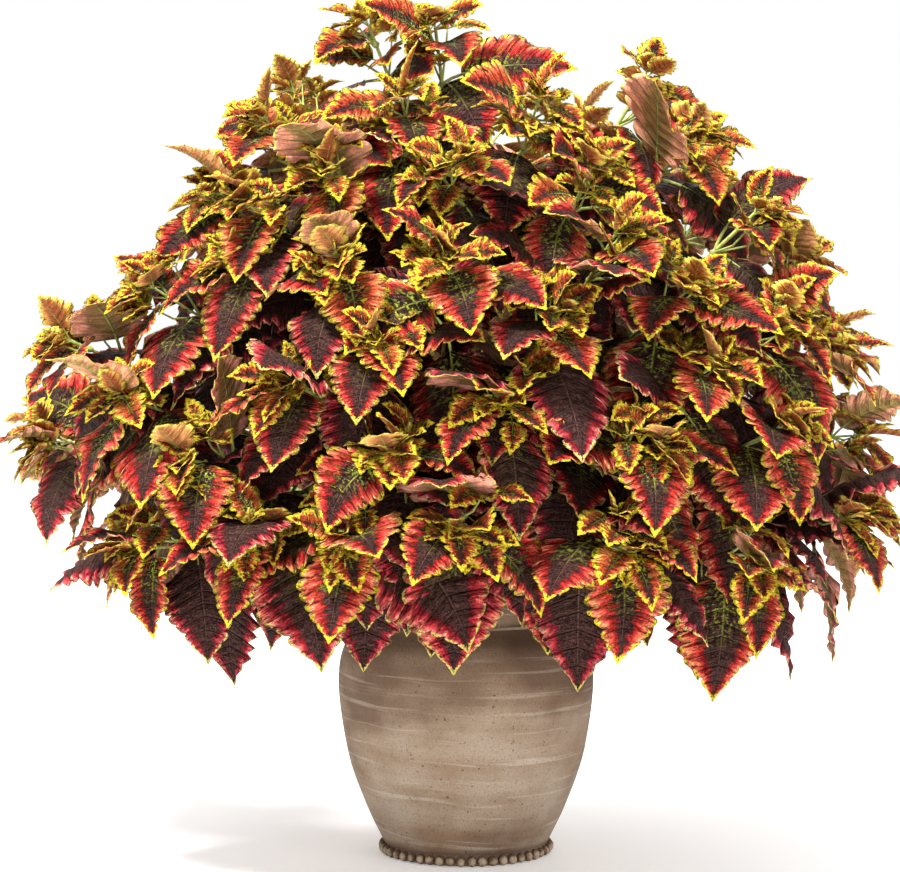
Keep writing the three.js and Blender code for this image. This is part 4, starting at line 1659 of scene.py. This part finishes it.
@dataclass
class Pot:
    """The fired pot: wall, collar, rim and the beads of its foot; mm, radius first."""

    wall: tuple = ((84, 13), (101, 49.5), (118.5, 100.5), (128, 166), (122, 208), (98, 233))
    wall_steps: int = 9
    foot: tuple = ((0, 0), (80, 0), (83, 0.8), (84, 2.5), (83, 5.5), (82.4, 9), (81.6, 10.8), (82.6, 12))
    moulding: tuple = ((97.6, 233.2), (99.4, 234.2), (99.6, 235.4), (98.4, 236.6))
    collar: tuple = ((97, 237.4), (97, 241), (97.4, 243.6))
    lip: tuple = ((97, 269.2), (93.5, 264), (90, 254), (88, 245))
    rim_centre: tuple[float, float] = (101.0, 257.5)
    rim_size: tuple[float, float] = (8.5, 12.5)
    rim_points: int = 15
    thickness: float = 9.0
    floor: float = 12.0
    corner: float = 14.0
    bead_count: int = 50
    sides: int = 144

    def outline(self) -> np.ndarray:
        """Draws the pot's section.

        Returns:
            Its points, from the foot's centre to the floor's.
        """
        wall = smoothed(self.wall, self.wall_steps)
        tangent = np.gradient(wall, axis=0)
        tangent /= np.linalg.norm(tangent, axis=1)[:, None]
        inner = wall + np.stack((-tangent[:, 1], tangent[:, 0]), -1) * self.thickness
        inner = inner[inner[:, 1] > self.floor + self.corner][::-1]
        angles = np.linspace(-math.pi / 2, math.pi / 2, self.rim_points)
        turn = np.stack((np.cos(angles), np.sin(angles)), -1)
        rim = np.array(self.rim_centre) + np.array(self.rim_size) * turn
        floor = [(self.wall[0][0] - self.thickness, self.floor), (0, self.floor)]
        return np.concatenate((self.foot, wall, self.moulding, self.collar, rim, self.lip, inner, floor))

    def build(self, clay: Finish, beads: Finish) -> list[bpy.types.Object]:
        """Makes the pot.

        Args:
            clay: The wall's finish.
            beads: The beads' finish.

        Returns:
            The pot's pieces.
        """
        body = lathe_piece("pot_body", self.outline(), self.sides, clay.material)
        string = bead_tree().applied(
            "foot_beads", bpy.data.meshes.new("bead carrier"), Material=beads.material, Count=self.bead_count)
        return [body, string]


@dataclass
class Soil:
    """The soil in the pot: a lumpy surface with crumbs; mm."""

    radius: float = 87.0
    top: float = 236.0
    depth: float = 22.0
    rings: int = 26
    sides: int = 72
    waves: int = 7
    wave_rates: tuple[float, float] = (0.03, 0.12)
    lump: float = 0.32
    seed: int = 51
    edge: float = 1.0
    skin: float = 3.0

    def build(self, finish: Finish) -> list[bpy.types.Object]:
        """Makes the soil.

        Args:
            finish: Its finish.

        Returns:
            The soil's pieces.
        """
        outline = [(0, self.top - self.depth), (self.radius, self.top - self.depth)]
        outline += [(radius, self.top) for radius in self.radius * np.linspace(1, 0, self.rings)]
        surface = lathe_piece("soil_surface", np.array(outline), self.sides, finish.material)
        self._lumps(surface.data)
        work = bmesh.new()
        work.from_mesh(surface.data)
        low = [vertex for vertex in work.verts if vertex.co.z < (self.top - self.skin) * MM]
        bmesh.ops.delete(work, geom=low, context="VERTS")
        ground = bpy.data.meshes.new("crumb carrier")
        work.to_mesh(ground)
        work.free()
        return [surface, crumb_tree().applied("soil_crumbs", ground, Material=finish.material)]

    def _lumps(self, mesh: bpy.types.Mesh) -> None:
        """Raises and lowers the surface inside its edge.

        Args:
            mesh: The surface's mesh.
        """
        draw = Draws(self.seed)
        slowest, fastest = self.wave_rates
        span = fastest - slowest
        waves = [
            (slowest + span * draw(), slowest + span * draw(), FULL_TURN * draw())
            for _ in range(self.waves)]
        for vertex in mesh.vertices:
            x, y, z = vertex.co / MM
            if z > self.top - self.edge and math.hypot(x, y) < self.radius - self.edge:
                lump = sum(math.sin(x * a + y * b + p) + math.sin(x * b - y * a + p) for a, b, p in waves)
                vertex.co.z += self.lump * lump * MM


@dataclass
class Stem:
    """One leafy stem: its shoots, the leaves of its solid and the small growth between them; mm.

    Attributes:
        number: Which stem it is, from 1.
        shoots: Its leader and side shoots.
        poses: How its leaves stand.
        spare: Leaves that the solid leaves out.
        twigs: Its short axillary shoots.
    """

    number: int
    shoots: list[Shoot]
    poses: list[LeafPose] = field(default_factory=list)
    spare: list[LeafPlan] = field(default_factory=list)
    twigs: list[Shoot] = field(default_factory=list)

    SPARE_GAP: ClassVar[float] = 9.0
    OLD_GAP: ClassVar[float] = 8.0
    HIGH_GAP: ClassVar[float] = 5.0
    HIGH_SHOOT: ClassVar[float] = 640.0
    LOWEST_OLD_PAIR: ClassVar[float] = 30.0
    BUD_PLACES: ClassVar[tuple] = ((20, 1), (56, 2), (56, 4))
    BUD_SWINGS: ClassVar[tuple] = (0, 35, -35, 65, -65)
    TWIG_SIDE: ClassVar[float] = 2.6
    COLLAR_STEPS: ClassVar[Placed] = (-3.2, 0.0, 3.2)
    COLLAR_RADII: ClassVar[Placed] = (0.34, 0.62, 0.3)
    THIN_PETIOLE: ClassVar[float] = 0.7
    TONE_SEED: ClassVar[int] = 77
    FILL_SEED: ClassVar[tuple[int, int]] = (4000, 11)
    TRIAL_SEED: ClassVar[int] = 7
    TWIG_SIZES: ClassVar[tuple[float, float]] = (0.6, 0.4)
    TWIG_OUTWARD: ClassVar[float] = 0.6
    TWIG_OPENING: ClassVar[float] = 0.9
    TWIG_RISE: ClassVar[float] = 0.5
    TWIG_LENGTHS: ClassVar[tuple[float, float]] = (0.5, 0.35)
    SHORTEST_TWIG: ClassVar[float] = 6
    SMOOTH_STEPS: ClassVar[int] = 6
    SHOOT_TAPER: ClassVar[tuple[float, float]] = (1, 0.5)
    SHOOT_FULLNESS: ClassVar[float] = 1.06
    TWIG_TAPER: ClassVar[tuple[float, float]] = (1, 0.6)
    PETIOLE_TAPER: ClassVar[tuple[float, float]] = (1.15, 0.75)
    PETIOLE_POINTS: ClassVar[tuple[int, int]] = (2, 4)
    LEAST_PETIOLE: ClassVar[float] = 0.7
    PETIOLE_REACH: ClassVar[float] = 0.1
    PETIOLE_SINK: ClassVar[float] = -0.4

    @property
    def node(self) -> str:
        """The name of the stem's solid."""
        return f"leafy_stem_{self.number:02d}"

    def settle(self, crown: Crown) -> int:
        """Reads from the solid how each leaf turned aside.

        Args:
            crown: The plant's growth rules.

        Returns:
            How many leaves the solid left out.
        """
        corners = search_tree([vertex.co / MM for vertex in frame["nodes"][self.node].data.vertices])
        tones = Draws(self.TONE_SEED + self.number)
        kept, self.spare = crown.leaves(self.shoots, self.number - 1)
        for plan in kept:
            plan.tone = tones()
            pose = settled(plan, corners)
            if pose is not None:
                self.poses.append(pose)
        return len(kept) - len(self.poses)

    def fill(self, crowd: Crowd) -> None:
        """Grows what the solid leaves out: spare partners, old and high leaves, buds and tip rosettes.

        Args:
            crowd: The leaves of all stems so far.
        """
        first, step = self.FILL_SEED
        draw = Draws(first + step * self.number)
        crowd.refresh()
        for plan in self.spare:
            plan.tone = draw()
            self._join(crowd, crowd.clearest(plan, self.SPARE_GAP, (1.0, 0.85)))
        for shoot in self.shoots:
            for index, pair in enumerate(OLD_PAIRS, len(PAIRS)):
                if shoot.length - pair.back >= self.LOWEST_OLD_PAIR:
                    self._pair(
                        crowd, shoot, pair, (index, shoot.spin), draw,
                        lambda plan: crowd.clearest(plan, self.OLD_GAP))
        crowd.refresh()
        for shoot in self.shoots:
            if shoot.spine[-1][2] > self.HIGH_SHOOT:
                for pair in HIGH_PAIRS:
                    self._pair(
                        crowd, shoot, pair, (1, shoot.spin + math.pi / 4), draw,
                        lambda plan: crowd.clearest(plan, self.HIGH_GAP, (1.0, 0.8)))
                crowd.refresh()
        for shoot in self.shoots:
            for back, index in self.BUD_PLACES:
                self._bud(crowd, shoot, back, index, draw)
            self._rosette(crowd, shoot, ROSETTE, draw)

    def _join(self, crowd: Crowd, pose: LeafPose | None) -> None:
        """Keeps a pose where there is one.

        Args:
            crowd: The leaves so far.
            pose: How the leaf stands, or None.
        """
        if pose is not None:
            self.poses.append(pose)
            crowd.add(pose)

    def _pair(
        self, crowd: Crowd, shoot: Shoot, pair: Pair, turn: tuple[int, float], draw: Draws,
        fit: Callable[[LeafPlan], LeafPose | None]
    ) -> None:
        """Grows both leaves of a pair.

        Args:
            crowd: The leaves so far.
            shoot: What they grow on.
            pair: Their sizes.
            turn: The pair's number from the tip, and the first pair's turn about the shoot.
            draw: Source of the small differences.
            fit: Poses a leaf's plan.
        """
        index, spin = turn
        for partner in PARTNERS:
            plan = plan_leaf(shoot, pair, index, partner, spin, draw)
            plan.tone = draw()
            self._join(crowd, fit(plan))

    def _rosette(self, crowd: Crowd, shoot: Shoot, pairs: Sequence[Pair], draw: Draws) -> None:
        """Grows the youngest pairs at a shoot's end.

        Args:
            crowd: The leaves so far.
            shoot: What they grow on.
            pairs: Their sizes.
            draw: Source of the small differences.
        """
        for index, pair in enumerate(pairs, 1):
            self._pair(crowd, shoot, pair, (-index, shoot.spin), draw, LeafPlan.posed)

    def _bud(self, crowd: Crowd, shoot: Shoot, back: float, index: int, draw: Draws) -> None:
        """Grows a short side shoot from the axil of a pair.

        Args:
            crowd: The leaves so far.
            shoot: What it grows on.
            back: How far down from the shoot's tip.
            index: The pair's number from the tip.
            draw: Source of the small differences.
        """
        base, along = shoot.place(back)
        level = unit(np.cross(along, UP))
        spin = 2 * math.pi * draw()
        smallest, span = self.TWIG_SIZES
        size = smallest + span * draw()
        below, above = self.TWIG_LENGTHS
        best, best_gap = None, LEAST_GAP
        for partner in PARTNERS:
            for swing in self.BUD_SWINGS:
                angle = shoot.spin + index * math.pi / 2 + partner * math.pi + math.radians(swing)
                radial = unit(turned(level, along, angle) + outward_at(base) * self.TWIG_OUTWARD)
                side = unit(along + radial * self.TWIG_OPENING)
                knee = base + side * (below * back * size + self.SHORTEST_TWIG)
                rise = unit(side + UP * self.TWIG_RISE)
                tip = knee + rise * (above * back * size + self.SHORTEST_TWIG)
                twig = Shoot(np.array((base, knee, tip)), self.TWIG_SIDE, spin)
                gap = min(
                    crowd.gap(plan_leaf(twig, BUD[0], -1, leaf, spin, Draws(self.TRIAL_SEED)).posed())
                    for leaf in PARTNERS)
                if gap > best_gap:
                    best, best_gap = twig, gap
        if best is not None:
            self.twigs.append(best)
            self._rosette(crowd, best, BUD, draw)
            crowd.refresh()

    def leaves(self, materials: Sequence[bpy.types.Material]) -> bpy.types.Object:
        """Makes the stem's leaves.

        Args:
            materials: The upper face's and the underside's.

        Returns:
            The piece.
        """
        mesh = LeafMesh()
        for pose in self.poses:
            mesh.add(pose)
        return mesh.build(f"leaves_{self.number:02d}", materials)

    def stalks(self, tree: GrowthTree, finish: Finish) -> bpy.types.Object:
        """Makes the stem's stalks and petioles.

        Args:
            tree: The stalk tree.
            finish: Their finish.

        Returns:
            The piece.
        """
        data = bpy.data.curves.new("stalk paths", "CURVE")
        data.dimensions = "3D"
        for shoot in self.shoots:
            places = smoothed(shoot.spine, self.SMOOTH_STEPS)
            taper = np.linspace(*self.SHOOT_TAPER, len(places))
            self._spline(data, places, taper * shoot.side / 2 * self.SHOOT_FULLNESS)
            for pair in (*PAIRS[1:], *OLD_PAIRS):
                if shoot.length - pair.back > self.LOWEST_OLD_PAIR:
                    base, along = shoot.place(pair.back)
                    collar = np.array([base + along * step for step in self.COLLAR_STEPS])
                    self._spline(data, collar, np.array(self.COLLAR_RADII) * shoot.side)
        for twig in self.twigs:
            taper = np.linspace(*self.TWIG_TAPER, len(twig.spine))
            self._spline(data, twig.spine, taper * twig.side / 2)
        for pose in self.poses:
            form = pose.plan.form
            if form is not MINI:
                count = self.PETIOLE_POINTS[form.petiole_radius >= self.THIN_PETIOLE]
                radius = form.petiole_radius * max(self.LEAST_PETIOLE, pose.blade / pose.plan.blade)
                distance = np.linspace(0, pose.petiole + self.PETIOLE_REACH * pose.blade, count)
                places = pose.points(distance, 0.0, self.PETIOLE_SINK * radius)
                self._spline(data, places, np.linspace(*self.PETIOLE_TAPER, count) * radius)
        return tree.applied(f"stalks_{self.number:02d}", data, Material=finish.material)

    @staticmethod
    def _spline(data: bpy.types.Curve, places: np.ndarray, radii: np.ndarray) -> None:
        """Adds one path.

        Args:
            data: The curves that it joins.
            places: Its points, mm.
            radii: A radius for each, mm.
        """
        spline = data.splines.new("POLY")
        spline.points.add(len(places) - 1)
        flat = np.concatenate((places * MM, np.ones((len(places), 1))), 1)
        spline.points.foreach_set("co", flat.astype(np.float32).ravel())
        spline.points.foreach_set("radius", (radii * MM).astype(np.float32))


@dataclass
class Studio:
    """The floor, the lights and the camera; metres and watts."""

    aim: Placed = (-0.016, 0.0, 0.4176)
    distance: float = 2.6
    height: float = 0.55
    lens: float = 104.0
    sensor: float = 36.0
    floor_reach: float = 9.0
    lit: Placed = (0.0, 0.0, 0.4)
    lamps: tuple = (
        ("key", (-1.0, -1.7, 3.7), 440.0, 1.0),
        ("fill", (2.4, -2.4, 1.2), 34.0, 2.0),
        ("back", (0.4, 2.6, 2.2), 24.0, 2.2),
    )

    def build(self, floor_finish: Finish) -> None:
        """Makes the studio.

        Args:
            floor_finish: The floor's finish.
        """
        self._floor(floor_finish)
        for name, place, power, size in self.lamps:
            lamp = bpy.data.lights.new(name, "AREA")
            lamp.energy = power
            lamp.size = size
            self._point(placed(name, lamp), place, self.lit)
        world = bpy.data.worlds.new("white surround")
        world.use_nodes = True
        NodeBench(world.node_tree).feed(
            world.node_tree.nodes["Background"], Color=(1.0, 1.0, 1.0, 1.0), Strength=1.0)
        bpy.context.scene.world = world
        bpy.context.scene.view_settings.view_transform = "Standard"
        eye = bpy.data.cameras.new("camera")
        eye.lens = self.lens
        eye.sensor_width = self.sensor
        camera = placed("camera", eye)
        self._point(camera, (self.aim[0], -self.distance, self.height), self.aim)
        bpy.context.scene.camera = camera

    def _floor(self, finish: Finish) -> None:
        """Lays the flat floor.

        Args:
            finish: Its finish.
        """
        mesh = bpy.data.meshes.new("studio_floor")
        reach = self.floor_reach
        corners = [(-reach, -reach, 0), (reach, -reach, 0), (reach, reach, 0), (-reach, reach, 0)]
        mesh.from_pydata(corners, [], [(0, 1, 2, 3)])
        mesh.materials.append(finish.material)
        placed("studio_floor", mesh)

    @staticmethod
    def _point(thing: bpy.types.Object, place: Placed, target: Placed) -> None:
        """Stands a lamp or the camera at a place, turned to a target."""
        thing.location = place
        thing.rotation_euler = (Vector(target) - thing.location).to_track_quat("-Z", "Y").to_euler()


def ride_on_root(pieces: Iterable[bpy.types.Object], slot: str, *nodes: str) -> None:
    """Sets pieces in place of CAD nodes on the one body.

    Args:
        pieces: What was built.
        slot: The record's material slot; not used.
        nodes: The CAD nodes that they stand for.
    """
    for piece in pieces:
        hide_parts(*nodes)
        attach(piece, "root")
        LOG.info("%s: %d faces", piece.name, len(piece.data.polygons))


def main() -> None:
    """Builds the pot, the soil, the stems and the studio in order."""
    logging.basicConfig(level=logging.INFO, format="%(name)s: %(message)s")
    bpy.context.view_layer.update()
    ride_on_root(Pot().build(ClayFinish(), BeadFinish()), "terracotta", "pot")
    ride_on_root(Soil().build(SoilFinish()), "soil", "soil")
    leaf_finishes = [LeafFaceFinish().material, LeafBackFinish().material]
    stalk_finish = StalkFinish()
    tree = stalk_tree()
    crown = Crown()
    stems = [Stem(number, shoots) for number, shoots in enumerate(crown.grow(), 1)]
    crowd = Crowd()
    for stem in stems:
        missing = stem.settle(crown)
        LOG.info("stem %d: %d leaves, %d left out", stem.number, len(stem.poses), missing)
        for pose in stem.poses:
            crowd.add(pose)
    for stem in stems:
        stem.fill(crowd)
        LOG.info("stem %d: %d leaves with the small ones", stem.number, len(stem.poses))
        ride_on_root([stem.leaves(leaf_finishes), stem.stalks(tree, stalk_finish)], "foliage", stem.node)
    Studio().build(FloorFinish())


if __name__ == "__main__":
    main()
